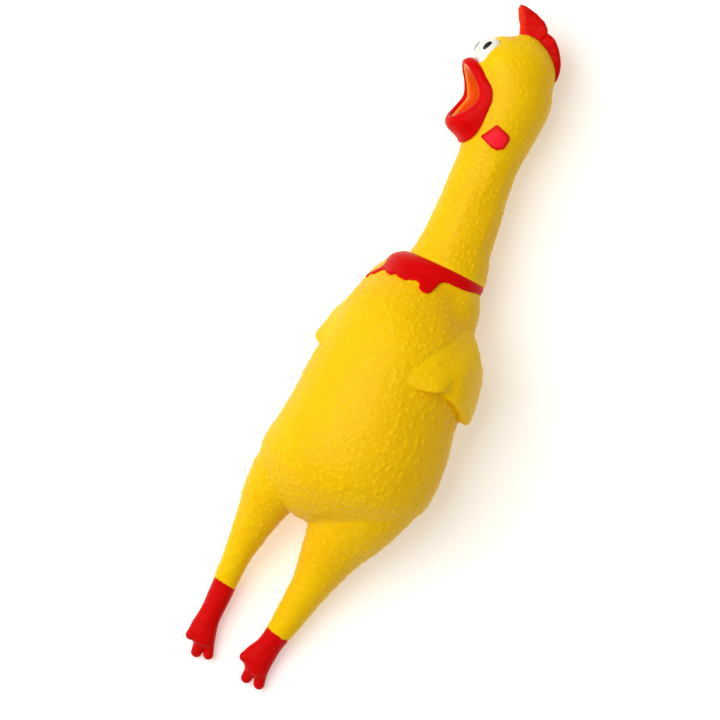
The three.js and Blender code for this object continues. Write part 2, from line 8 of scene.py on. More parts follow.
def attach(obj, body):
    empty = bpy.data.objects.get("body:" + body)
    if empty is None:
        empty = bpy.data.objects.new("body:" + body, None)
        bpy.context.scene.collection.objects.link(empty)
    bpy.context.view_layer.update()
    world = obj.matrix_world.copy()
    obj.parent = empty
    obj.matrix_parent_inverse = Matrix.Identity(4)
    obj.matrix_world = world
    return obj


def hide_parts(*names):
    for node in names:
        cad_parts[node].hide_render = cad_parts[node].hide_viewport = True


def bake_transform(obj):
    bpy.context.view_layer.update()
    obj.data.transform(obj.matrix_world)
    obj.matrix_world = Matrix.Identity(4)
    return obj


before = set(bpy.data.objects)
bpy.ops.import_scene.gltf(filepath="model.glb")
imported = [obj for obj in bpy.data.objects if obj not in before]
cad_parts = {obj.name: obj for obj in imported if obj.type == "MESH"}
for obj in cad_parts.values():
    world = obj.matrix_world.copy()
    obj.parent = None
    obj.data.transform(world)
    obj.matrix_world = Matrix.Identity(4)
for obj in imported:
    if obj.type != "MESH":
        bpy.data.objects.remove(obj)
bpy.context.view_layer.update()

scene = bpy.context.scene

# All shaping below is in millimetres in the moulding's own coordinates; SHIFT takes them to the row frame.
SHIFT = np.array([-10.2, -13.9, 0.0])
VOXEL_BODY = 0.5
VOXEL_HEAD = 0.4

# ------------------------------------------------------------------ camera
TH = math.radians(25.0)
RIGHT = Vector((math.cos(TH), math.sin(TH), 0))
UPV = Vector((-math.sin(TH), math.cos(TH), 0))
cam_data = bpy.data.cameras.new("camera")
cam = bpy.data.objects.new("camera", cam_data)
scene.collection.objects.link(cam)
CAM_D = 1.60
cam_data.sensor_width = 36.0
cam_data.lens = 36.0 * (CAM_D - 0.024) / 0.3024
cam_data.clip_start = 0.05
cam_data.clip_end = 20.0
aim = Vector((-0.0146, -0.0104, 0.0))
back = RIGHT.cross(UPV)
cam.matrix_world = Matrix.Translation(aim + back * CAM_D) @ Matrix((RIGHT, UPV, back)).transposed().to_4x4()
scene.camera = cam
scene.view_settings.view_transform = "Standard"

# ------------------------------------------------------------------ sections: y, centre x, centre z, half width, half height
TORSO = [
    [53.2, 11.6, 21.4, 16.9, 16.9],
    [51.6, 10.5, 21.4, 18.2, 18.1],
    [49.6, 9.5, 21.5, 19.1, 19.0],
    [47.5, 9.0, 21.6, 19.4, 19.5],
    [44, 8.8, 22.4, 19.9, 20.4],
    [38, 8.2, 24.0, 23.2, 23.2],
    [30, 8.4, 26.6, 27.4, 26.6],
    [20, 9.4, 28.8, 30.2, 29.0],
    [8, 10.2, 30.2, 32.2, 30.7],
    [-8, 10.2, 30.9, 34.0, 31.5],
    [-22, 11.2, 31.0, 35.6, 31.6],
    [-35, 10.8, 30.6, 36.8, 31.2],
    [-44, 9.7, 29.6, 36.6, 30.0],
    [-50, 8.4, 28.6, 33.6, 27.6],
    [-55, 6.6, 27.2, 28.6, 24.0],
    [-60, 4.6, 25.8, 21.6, 19.0],
    [-63.5, 2.8, 24.8, 14.6, 13.6],
    [-66, 1.6, 24.2, 7.0, 8.0],
    [-67.2, 1.2, 24.0, 2.0, 3.0],
]
NECK = [
    [157.7, 3.8, 19.4, 1.2, 1.6],
    [156.7, 3.9, 19.4, 4.4, 5.6],
    [154.4, 4.8, 19.4, 8.2, 9.2],
    [151.0, 4.4, 19.4, 12.7, 12.6],
    [146.4, 3.4, 19.3, 16.8, 15.8],
    [141, 3.0, 19.2, 18.2, 17.6],
    [135, 5.0, 19.1, 18.4, 18.3],
    [129, 7.3, 19.0, 16.8, 18.4],
    [122, 8.2, 19.1, 15.6, 17.8],
    [115, 8.3, 19.4, 15.1, 16.8],
    [108, 8.6, 19.9, 14.0, 15.4],
    [102, 9.0, 20.4, 13.3, 14.0],
    [96, 9.5, 20.6, 13.3, 13.4],
    [89, 10.1, 20.8, 13.5, 13.6],
    [80, 11.0, 21.0, 14.1, 14.1],
    [72, 11.5, 21.1, 14.6, 14.5],
    [66, 11.9, 21.2, 15.0, 14.9],
    [61, 12.5, 21.2, 16.0, 15.6],
    [57, 12.8, 21.3, 16.8, 16.3],
    [54.5, 12.9, 21.4, 17.3, 16.9],
    [52.0, 12.9, 21.4, 17.5, 17.2],
]
LEG_R = [  # the toy's right leg, at the picture's left
    [-34, -6.0, 29.5, 4.0, 6.0],
    [-42, -9.0, 28.4, 12.0, 13.0],
    [-50, -11.2, 27.0, 15.0, 14.6],
    [-58, -13.2, 25.0, 13.4, 13.2],
    [-66, -14.9, 22.6, 11.3, 11.6],
    [-74, -15.6, 19.9, 9.2, 9.6],
    [-83, -16.2, 17.0, 7.4, 7.8],
    [-92, -16.6, 14.2, 6.0, 6.4],
    [-100, -16.7, 11.8, 5.4, 5.6],
    [-108, -16.3, 9.6, 5.1, 5.2],
    [-113, -16.3, 8.6, 5.0, 4.9],
    [-118, -16.3, 7.6, 4.8, 4.6],
    [-123, -16.5, 6.7, 5.0, 4.5],
    [-127.5, -16.4, 6.0, 5.7, 4.4],
    [-131.5, -15.8, 5.5, 5.6, 4.2],
    [-134.2, -15.2, 5.2, 4.2, 3.4],
    [-135.6, -15.0, 5.0, 1.4, 1.4],
]
LEG_L = [  # the toy's left leg, at the picture's right
    [-30, 20.0, 30.0, 5.0, 7.0],
    [-38, 22.0, 30.2, 14.0, 15.0],
    [-47, 23.2, 29.4, 20.2, 18.4],
    [-56, 22.4, 27.2, 19.2, 17.6],
    [-66, 20.8, 23.6, 16.2, 15.2],
    [-74, 19.1, 20.8, 13.2, 12.9],
    [-83, 18.1, 17.8, 10.6, 10.6],
    [-92, 17.2, 15.0, 8.4, 8.5],
    [-100, 15.9, 12.8, 7.3, 7.2],
    [-108, 14.5, 10.8, 6.5, 6.3],
    [-114, 13.6, 9.8, 5.9, 5.8],
    [-119, 12.6, 8.6, 5.4, 5.2],
    [-123, 11.6, 7.6, 5.5, 4.8],
    [-127, 10.4, 6.7, 6.3, 4.5],
    [-131, 9.9, 6.0, 6.4, 4.4],
    [-134, 10.6, 5.6, 5.4, 4.0],
    [-136.2, 11.4, 5.4, 3.8, 3.2],
    [-137.6, 11.8, 5.2, 1.2, 1.2],
]
TOES_R = [
    ((-17.6, -126.0, 6.4), (-20.3, -132.6, 6.2), 3.0, 2.2),
    ((-15.6, -129.0, 5.4), (-15.0, -138.4, 3.8), 3.0, 2.4),
    ((-13.6, -128.5, 5.2), (-9.9, -137.4, 3.4), 2.6, 2.2),
]
TOES_L = [
    ((8.4, -126.4, 6.8), (4.4, -131.4, 6.6), 3.0, 2.2),
    ((9.8, -130.0, 5.8), (8.9, -139.4, 3.9), 3.0, 2.4),
    ((12.6, -130.0, 5.4), (14.9, -139.6, 3.7), 2.8, 2.4),
]
ROLL = math.radians(28.0)
BELLY = np.array([-math.sin(ROLL), 0.0, math.cos(ROLL)])
LEFT = np.array([math.cos(ROLL), 0.0, math.sin(ROLL)])
MID = np.array([10.2, 0.0, 30.6])
TILT = math.radians(18.0)
FO = np.array([4.0, 126.0, 19.3])
FWD = np.array([-math.cos(TILT), 0.0, math.sin(TILT)])
UPH = np.array([0.0, 1.0, 0.0])
SIDE = np.array([math.sin(TILT), 0.0, math.cos(TILT)])
MH, MHH, MHS = -2.5, 12.1, 10.4
M_CORNER, M_TOP, M_LOW = 10.0, 9.7, 4.7
EYE = (14.8, 16.6, 3.7)
EYE_R = (5.0, 7.0, 3.65)


# ------------------------------------------------------------------ fields
def table_at(tab, y):
    t = np.array(tab, float)[::-1]
    ys = t[:, 0]
    y = np.clip(np.asarray(y, float), ys[0], ys[-1])
    i = np.clip(np.searchsorted(ys, y, side="right") - 1, 0, len(ys) - 2)
    h = ys[i + 1] - ys[i]
    u = (y - ys[i]) / h
    d = np.diff(t[:, 1:], axis=0) / np.diff(ys)[:, None]
    m = np.vstack([d[:1], (d[:-1] + d[1:]) / 2, d[-1:]])
    out = []
    for k in range(4):
        p0, p1 = t[i, k + 1], t[i + 1, k + 1]
        m0, m1 = m[i, k] * h, m[i + 1, k] * h
        out.append(
            (2 * u**3 - 3 * u**2 + 1) * p0
            + (u**3 - 2 * u**2 + u) * m0
            + (-2 * u**3 + 3 * u**2) * p1
            + (u**3 - u**2) * m1
        )
    return out


def loft_d(tab, x, y, z):
    xc, zc, a, c = table_at(tab, y)
    a = np.maximum(a, 0.4)
    c = np.maximum(c, 0.4)
    u, v = (x - xc) / a, (z - zc) / c
    r = np.sqrt(u * u + v * v) + 1e-5
    g = np.sqrt((u / a) ** 2 + (v / c) ** 2) + 1e-6
    d = (r - 1) * r / g
    lo, hi = tab[-1][0], tab[0][0]
    return np.maximum(d, np.maximum(y - hi, lo - y))


def smin(a, b, k):
    h = np.clip(0.5 + 0.5 * (b - a) / k, 0, 1)
    return b + (a - b) * h - k * h * (1 - h)


def smax(a, b, k):
    return -smin(-a, -b, k)


def step(t):
    t = np.clip(t, 0, 1)
    return t * t * (3 - 2 * t)


def capsule(x, y, z, a, b, ra, rb):
    a, b = np.array(a, float), np.array(b, float)
    d = b - a
    L2 = d @ d
    t = np.clip(((x - a[0]) * d[0] + (y - a[1]) * d[1] + (z - a[2]) * d[2]) / L2, 0, 1)
    q = np.sqrt((x - a[0] - t * d[0]) ** 2 + (y - a[1] - t * d[1]) ** 2 + (z - a[2] - t * d[2]) ** 2)
    return q - (ra + (rb - ra) * t)


def ellipsoid(p, c, r):
    """p in local coordinates, three arrays; near-surface distance"""
    u = [(p[i] - c[i]) / r[i] for i in range(3)]
    k = np.sqrt(u[0] ** 2 + u[1] ** 2 + u[2] ** 2) + 1e-6
    g = np.sqrt((u[0] / r[0]) ** 2 + (u[1] / r[1]) ** 2 + (u[2] / r[2]) ** 2) + 1e-6
    return (k - 1) * k / g


def poly_d(px, py, pts):
    """signed distance to a closed polygon, negative inside"""
    pts = np.array(pts, float)
    n = len(pts)
    d = np.full(np.broadcast(px, py).shape, 1e9)
    inside = np.zeros(d.shape, bool)
    for i in range(n):
        a, b = pts[i], pts[(i + 1) % n]
        e = b - a
        wx, wy = px - a[0], py - a[1]
        t = np.clip((wx * e[0] + wy * e[1]) / (e @ e), 0, 1)
        d = np.minimum(d, (wx - e[0] * t) ** 2 + (wy - e[1] * t) ** 2)
        cross = (a[1] > py) != (b[1] > py)
        if a[1] != b[1]:
            xi = (b[0] - a[0]) * (py - a[1]) / (b[1] - a[1]) + a[0]
            inside ^= cross & (px < xi)
    d = np.sqrt(d)
    return np.where(inside, -d, d)


def torso_field(x, y, z):
    return loft_d(TORSO, x, y, z)


def body_field(x, y, z):
    t = torso_field(x, y, z)
    legs = None
    for tab, toes in ((LEG_R, TOES_R), (LEG_L, TOES_L)):
        leg = loft_d(tab, x, y, z)
        toe = None
        for a, b, ra, rb in toes:
            c = capsule(x, y, z, a, b, ra, rb)
            toe = c if toe is None else smin(toe, c, 0.5)
        leg = smin(leg, toe, 1.3)
        legs = leg if legs is None else np.minimum(legs, leg)
    d = smin(t, legs, 2.8)
    sh = ellipsoid((x, y, z), (23.4, 38.0, 23.5), (9.6, 12.5, 15.0))
    d = smin(d, sh, 6.0)
    sh = ellipsoid((x, y, z), (-7.0, 36.0, 19.5), (8.6, 12.0, 13.0))
    d = smin(d, sh, 6.0)
    return smax(d, 0.15 - z, 1.0)


def face_coords(x, y, z):
    dx, dy, dz = x - FO[0], y - FO[1], z - FO[2]
    f = dx * FWD[0] + dz * FWD[2]
    s = dx * SIDE[0] + dz * SIDE[2]
    return f, dy, s


def lip_f(sv):
    return M_CORNER + np.where(sv > 0, M_TOP, M_LOW) * np.abs(sv) ** 1.5


def mouth_coords(f, h, s):
    """distance outward from the mouth's loop, forward from it, and the place round it"""
    vy, vx = (h - MH) / MHH, s / MHS
    rho = np.sqrt(vx * vx + vy * vy) + 1e-6
    sv = vy / rho
    rad = np.sqrt((vx / rho * MHS) ** 2 + (sv * MHH) ** 2)
    return (rho - 1) * rad, f - lip_f(sv), sv


def skull_field(x, y, z):
    d = loft_d(NECK, x, y, z)
    f, h, s = face_coords(x, y, z)
    f, h, s = np.broadcast_arrays(f, h, s)
    q, w, sv = mouth_coords(f, h, s)
    muzzle = np.sqrt((q + 0.3) ** 2 + ((w + 3.4) * 0.62) ** 2) - 2.3
    d = smin(d, muzzle, 4.5)
    # the brow over the eyes
    d = smin(d, ellipsoid((f, h, s), (9.4, 23.6, 0.0), (4.9, 3.0, 7.6)), 2.2)
    return d, f, h, s, q, w, sv


def head_field(x, y, z):
    d, f, h, s, q, w, sv = skull_field(x, y, z)
    for sg in (-1, 1):
        d = smax(d, -ellipsoid((f, h, s), (EYE[0], EYE[1], sg * EYE[2]), (EYE_R[0] + 0.1, EYE_R[1] + 0.1, EYE_R[2] + 0.1)), 0.5)
    d = smax(d, -ellipsoid((f, h, s), (19.6, 12.2, 0.0), (3.6, 3.6, 4.6)), 1.0)
    hole = np.maximum(q + 0.2, -(f + 7.0))
    d = smax(d, -hole, 0.8)
    d = smax(d, 52.75 - y, 1.0)
    return smax(d, 0.5 - z, 0.8)


def lips_field(x, y, z):
    d, f, h, s, q, w, sv = skull_field(x, y, z)
    up, lo = step(sv), step(-sv)
    back_ = 1.0 + 0.2 * up + 4.0 * lo
    pad = smax(d - 0.95, -(w + back_), 1.1)
    pad = smax(pad, q - 2.7 - 4.8 * (1 - step(sv * 1.6)), 1.0)
    roll = np.sqrt(((q - 0.5 - 0.7 * lo + 0.5 * up) / (2.3 + 0.8 * lo - 0.6 * up)) ** 2 + ((w - 0.4 + 2.0 * lo) / (2.7 + 2.0 * lo)) ** 2 + 1e-6)
    roll = (roll - 1) * 2.4
    out = smin(pad, roll, 2.4 + 2.2 * lo)
    out = smax(out, -(q + 1.0), 0.9)
    out = np.maximum(out, -(w + back_ + 1.5))
    out = np.maximum(out, -(d + 3.0 + 0.0 * w) * (w < -2.2) - 99.0 * (w >= -2.2))
    return smax(out, 0.6 - z, 0.6)


WING = [
    (27, 0.3), (28.5, 3), (28, 8), (26, 12.5), (22, 18.5), (16.5, 24.3), (11, 29), (4, 33.5),
    (-3, 36.8), (-9, 36.2), (-14, 31), (-17.5, 22), (-18.5, 12), (-17.5, 2), (-13.5, -3),
    (-8, -1.8), (-2, 0.6), (4, 2.8), (9, 3.4), (14, 5.6), (20, 2.2),
]


WING_SOFT = [(26.5, -1.0), (28.5, 3), (28, 8), (26, 12.5), (22, 18.5), (16.5, 24.3), (11, 29), (4, 33.5), (-3, 38.5), (-9, 38.5), (-14, 33)]


def line_d(px, py, pts):
    d = np.full(np.broadcast(px, py).shape, 1e9)
    for a, b in zip(pts[:-1], pts[1:]):
        a, b = np.array(a, float), np.array(b, float)
        e = b - a
        wx, wy = px - a[0], py - a[1]
        t = np.clip((wx * e[0] + wy * e[1]) / (e @ e), 0, 1)
        d = np.minimum(d, (wx - e[0] * t) ** 2 + (wy - e[1] * t) ** 2)
    return np.sqrt(d)


def wing_field(x, y, z, side):
    dt = torso_field(x, y, z)
    dx, dz = x - MID[0], z - (MID[2] - 1.6)
    b = dx * BELLY[0] + dz * BELLY[2]
    l = (dx * LEFT[0] + dz * LEFT[2]) * side
    b, yy, dt, l = np.broadcast_arrays(b, y, dt, l)
    d2 = poly_d(b, yy, WING) + 0.3
    # flush with the body along the belly side and the top, standing off it along the lower edge
    ds = line_d(b, yy, WING_SOFT)
    d2 = np.minimum(d2, ds - 2.8)
    th = -0.9 + (6.0 if side > 0 else 5.2) * step(ds / 13.0)
    # a shallow hollow between the two lobes
    th = th - 1.3 * np.exp(-(((b - 11.5) / 3.0) ** 2 + ((yy - 8.0) / 6.0) ** 2))
    d = smax(d2, dt - th, 2.6)
    d = smax(d, np.minimum(-1.1, th - 2.2) - dt, 1.0)
    d = smax(d, 4.0 - l, 1.0)
    return smax(d, 0.3 - z, 0.6)


COMB = [
    (-6.3, 168.0), (-6.5, 165.6), (-4.6, 162.1), (-2.6, 159.4), (-1.6, 157.0), (-0.6, 155.0), (1.0, 151), (8, 149),
    (13.0, 147.4), (17.2, 145.6), (19.4, 143.4), (20.3, 143.7), (20.6, 145.3), (20.4, 148.0), (19.6, 151.0), (18.0, 154.2),
    (15.7, 157.6), (12.6, 160.4), (9.4, 161.6), (8.4, 162.8), (5.6, 165.3), (1.6, 167.1), (-3.6, 168.2),
]


def comb_field(x, y, z):
    zz = (z - 20.4 - 0.0 * y) / math.cos(TILT)
    xx = x - (z - 20.4) * math.tan(TILT)
    xx, yy, zz = np.broadcast_arrays(xx, y, zz)
    d2 = poly_d(xx, yy, COMB)
    front = step((yy - 152.0) / 15.0) * step((8.0 - xx) / 8.0)
    t = 3.1 - 1.0 * front + 0.4 * step((158.0 - yy) / 8.0)
    r = 2.3
    qx = np.maximum(d2 + r, 0)
    qz = np.maximum(np.abs(zz) - t + r, 0)
    d = np.sqrt(qx**2 + qz**2) - r + np.minimum(np.maximum(d2 + r, np.abs(zz) - t + r), 0)
    # dimple lines down the sides, where the lobes part
    line = np.exp(-((xx - 8.6 + (161 - yy) * 0.25) / 0.9) ** 2) * step((yy - 153.0) / 5.0)
    return d + 0.45 * line


# ------------------------------------------------------------------ meshing
def trilinear(F, lo, h, P):
    q = (P - lo) / h
    i = np.clip(np.floor(q).astype(int), 0, np.array(F.shape) - 2)
    t = np.clip(q - i, 0, 1)
    out = 0
    for dx in (0, 1):
        for dy in (0, 1):
            for dz in (0, 1):
                w = (
                    (t[:, 0] if dx else 1 - t[:, 0])
                    * (t[:, 1] if dy else 1 - t[:, 1])
                    * (t[:, 2] if dz else 1 - t[:, 2])
                )
                out = out + w * F[i[:, 0] + dx, i[:, 1] + dy, i[:, 2] + dz]
    return out


def nets(field, lo, hi, h):
    """Surface nets over a box: vertices and quads of the zero level, facing out."""
    lo, hi = np.array(lo, float), np.array(hi, float)
    n = np.ceil((hi - lo) / h).astype(int) + 1
    gx = (lo[0] + h * np.arange(n[0]))[:, None, None]
    gy = (lo[1] + h * np.arange(n[1]))[None, :, None]
    gz = (lo[2] + h * np.arange(n[2]))[None, None, :]
    F = np.empty(tuple(n), np.float32)
    stepy = 64
    for j in range(0, n[1], stepy):
        F[:, j : j + stepy, :] = field(gx, gy[:, j : j + stepy, :], gz)
    S = F < 0
    c = [S[a : n[0] - 1 + a, b : n[1] - 1 + b, d : n[2] - 1 + d] for a in (0, 1) for b in (0, 1) for d in (0, 1)]
    anyin = c[0].copy()
    allin = c[0].copy()
    for k in c[1:]:
        anyin |= k
        allin &= k
    cells = np.argwhere(anyin & ~allin)
    index = np.full(tuple(n - 1), -1, np.int32)
    index[cells[:, 0], cells[:, 1], cells[:, 2]] = np.arange(len(cells))
    corner = np.array([(a, b, d) for a in (0, 1) for b in (0, 1) for d in (0, 1)])
    V = np.stack([F[cells[:, 0] + a, cells[:, 1] + b, cells[:, 2] + d] for a, b, d in corner], 1)
    acc = np.zeros((len(cells), 3))
    cnt = np.zeros(len(cells))
    for i in range(8):
        for j in range(i + 1, 8):
            if np.abs(corner[i] - corner[j]).sum() != 1:
                continue
            va, vb = V[:, i], V[:, j]
            m = (va < 0) != (vb < 0)
            t = va[m] / (va[m] - vb[m])
            acc[m] += corner[i] + (corner[j] - corner[i]) * t[:, None]
            cnt[m] += 1
    P = lo + (cells + acc / cnt[:, None]) * h
    # one Newton step onto the surface
    e = 0.5 * h
    for _ in range(2):
        f = trilinear(F, lo, h, P)
        g = np.stack([trilinear(F, lo, h, P + e * np.eye(3)[k]) - trilinear(F, lo, h, P - e * np.eye(3)[k]) for k in range(3)], 1) / (2 * e)
        P = P - g * (np.clip(f, -h, h) / np.maximum((g * g).sum(1), 0.2))[:, None] * 0.8
    quads = []
    for ax in range(3):
        u, w = [(1, 2), (2, 0), (0, 1)][ax]
        sl0 = [slice(None)] * 3
        sl1 = [slice(None)] * 3
        sl0[ax], sl1[ax] = slice(0, n[ax] - 1), slice(1, n[ax])
        A, B = S[tuple(sl0)], S[tuple(sl1)]
        E = np.argwhere(A != B)
        E = E[(E[:, u] > 0) & (E[:, w] > 0) & (E[:, u] < n[u] - 1) & (E[:, w] < n[w] - 1)]
        inside_first = A[E[:, 0], E[:, 1], E[:, 2]]
        du, dw = np.zeros(3, int), np.zeros(3, int)
        du[u], dw[w] = 1, 1
        ids = [index[tuple((E - o).T)] for o in (0 * du, du, du + dw, dw)]
        q = np.stack(ids, 1)
        q = np.where(inside_first[:, None], q, q[:, ::-1])
        quads.append(q)
    Q = np.concatenate(quads)
    Q = Q[(Q >= 0).all(1)]
    return P, Q


def vertex_normals(P, Q):
    a, b, c, d = (P[Q[:, k]] for k in range(4))
    fn = np.cross(c - a, d - b)
    N = np.zeros_like(P)
    for k in range(4):
        for ax in range(3):
            N[:, ax] += np.bincount(Q[:, k], fn[:, ax], len(P))
    return N / np.maximum(np.linalg.norm(N, axis=1), 1e-9)[:, None]


def hashed(i, j, k, n):
    v = (i * 73856093) ^ (j * 19349663) ^ (k * 83492791) ^ (n * 2654435761)
    v = (v ^ (v >> 13)) * 1274126177
    v = v ^ (v >> 16)
    return (v & 0xFFFFFF) / float(0xFFFFFF)


def bumps(P, cell, sigma, seed=0):
    """Rounded pimples scattered about one to a cell: 0 in the valleys to 1 on a tip."""
    q = P / cell
    base = np.floor(q).astype(np.int64)
    best = np.zeros(len(P))
    for dx in (-1, 0, 1):
        for dy in (-1, 0, 1):
            for dz in (-1, 0, 1):
                c = base + np.array([dx, dy, dz])
                j = [hashed(c[:, 0], c[:, 1], c[:, 2], 11 * seed + n) for n in (1, 2, 3, 4)]
                f = (c + 0.12 + 0.76 * np.stack(j[:3], 1)) * cell
                d2 = ((P - f) ** 2).sum(1)
                best = np.maximum(best, (0.45 + 0.55 * j[3]) * np.exp(-d2 / (2 * sigma * sigma)))
    return best


def soft_noise(P, scale, seed=0):
    """Smooth value noise, -1 to 1"""
    q = P / scale
    base = np.floor(q).astype(np.int64)
    t = q - base
    t = t * t * (3 - 2 * t)
    out = 0
    for dx in (0, 1):
        for dy in (0, 1):
            for dz in (0, 1):
                w = (
                    (t[:, 0] if dx else 1 - t[:, 0])
                    * (t[:, 1] if dy else 1 - t[:, 1])
                    * (t[:, 2] if dz else 1 - t[:, 2])
                )
                out = out + w * hashed(base[:, 0] + dx, base[:, 1] + dy, base[:, 2] + dz, seed + 17)
    return 2 * out - 1


# ------------------------------------------------------------------ objects
def add_mesh(name, P, Q, mat, N=None, attrs=None, smooth=True):
    """P in millimetres of the moulding's coordinates, Q quads or triangles"""
    me = bpy.data.meshes.new(name)
    V = (P + SHIFT) / 1000.0
    Q = np.asarray(Q)
    k = Q.shape[1]
    me.vertices.add(len(V))
    me.vertices.foreach_set("co", V.astype(np.float32).ravel())
    me.loops.add(len(Q) * k)
    me.loops.foreach_set("vertex_index", Q.astype(np.int32).ravel())
    me.polygons.add(len(Q))
    me.polygons.foreach_set("loop_start", np.arange(0, len(Q) * k, k, dtype=np.int32))
    me.polygons.foreach_set("use_smooth", np.full(len(Q), smooth))
    me.update(calc_edges=True)
    me.validate()
    rest = me.attributes.new("rest", "FLOAT_VECTOR", "POINT")
    rest.data.foreach_set("vector", P.astype(np.float32).ravel())
    for key, val in (attrs or {}).items():
        at = me.attributes.new(key, "FLOAT", "POINT")
        at.data.foreach_set("value", np.asarray(val, np.float32))
    if N is not None:
        me.normals_split_custom_set_from_vertices(N.astype(float).tolist())
    me.materials.append(mat)
    ob = bpy.data.objects.new(name, me)
    scene.collection.objects.link(ob)
    return ob


def facing_out(P, Q, T):
    """whether the faces look outward, by the sign of their volume about the points' mean"""
    tri = np.vstack([Q[:, [0, 1, 2]], Q[:, [0, 2, 3]], T])
    a, b, c = (P[tri[:, k]] - P.mean(0) for k in range(3))
    return (a * np.cross(b, c)).sum() > 0


def add_mixed(name, P, Q, T, mat, attrs, out=None):
    """quads and triangles together"""
    n_ = np.cross(P[Q[:, 2]] - P[Q[:, 0]], P[Q[:, 3]] - P[Q[:, 1]]).sum(0)
    good = facing_out(P, Q, T) if out is None else n_ @ np.asarray(out) > 0
    if not good:
        Q, T = Q[:, ::-1], T[:, ::-1]
    me = bpy.data.meshes.new(name)
    faces = [tuple(q) for q in Q.tolist()] + [tuple(t) for t in T.tolist()]
    me.from_pydata(((P + SHIFT) / 1000.0).tolist(), [], faces)
    me.polygons.foreach_set("use_smooth", np.ones(len(faces), bool))
    me.update()
    rest = me.attributes.new("rest", "FLOAT_VECTOR", "POINT")
    rest.data.foreach_set("vector", P.astype(np.float32).ravel())
    for key, val in attrs.items():
        at_ = me.attributes.new(key, "FLOAT", "POINT")
        at_.data.foreach_set("value", np.asarray(val, np.float32))
    me.materials.append(mat)
    ob = bpy.data.objects.new(name, me)
    scene.collection.objects.link(ob)
    return ob


def take(P, Q, N, attrs, mask):
    q = Q[mask]
    used, inv = np.unique(q, return_inverse=True)
    return P[used], inv.reshape(q.shape), N[used], {k: v[used] for k, v in attrs.items()}


def weigh(ob, w):
    """Bakes ob's world transform into its mesh; the weight w is not used."""
    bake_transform(ob)


def grid_faces(nu, nv, wrap_u=True):
    """quads of a grid of nv rows of nu points"""
    i = np.arange(nu if wrap_u else nu - 1)
    j = np.arange(nv - 1)
    I, J = np.meshgrid(i, j)
    I, J = I.ravel(), J.ravel()
    I2 = (I + 1) % nu
    return np.stack([J * nu + I, J * nu + I2, (J + 1) * nu + I2, (J + 1) * nu + I], 1)


# ------------------------------------------------------------------ materials
def lin(r, g, b):
    def f(c):
        c = c / 255.0
        return c / 12.92 if c <= 0.04045 else ((c + 0.055) / 1.055) ** 2.4

    return (f(r), f(g), f(b), 1.0)


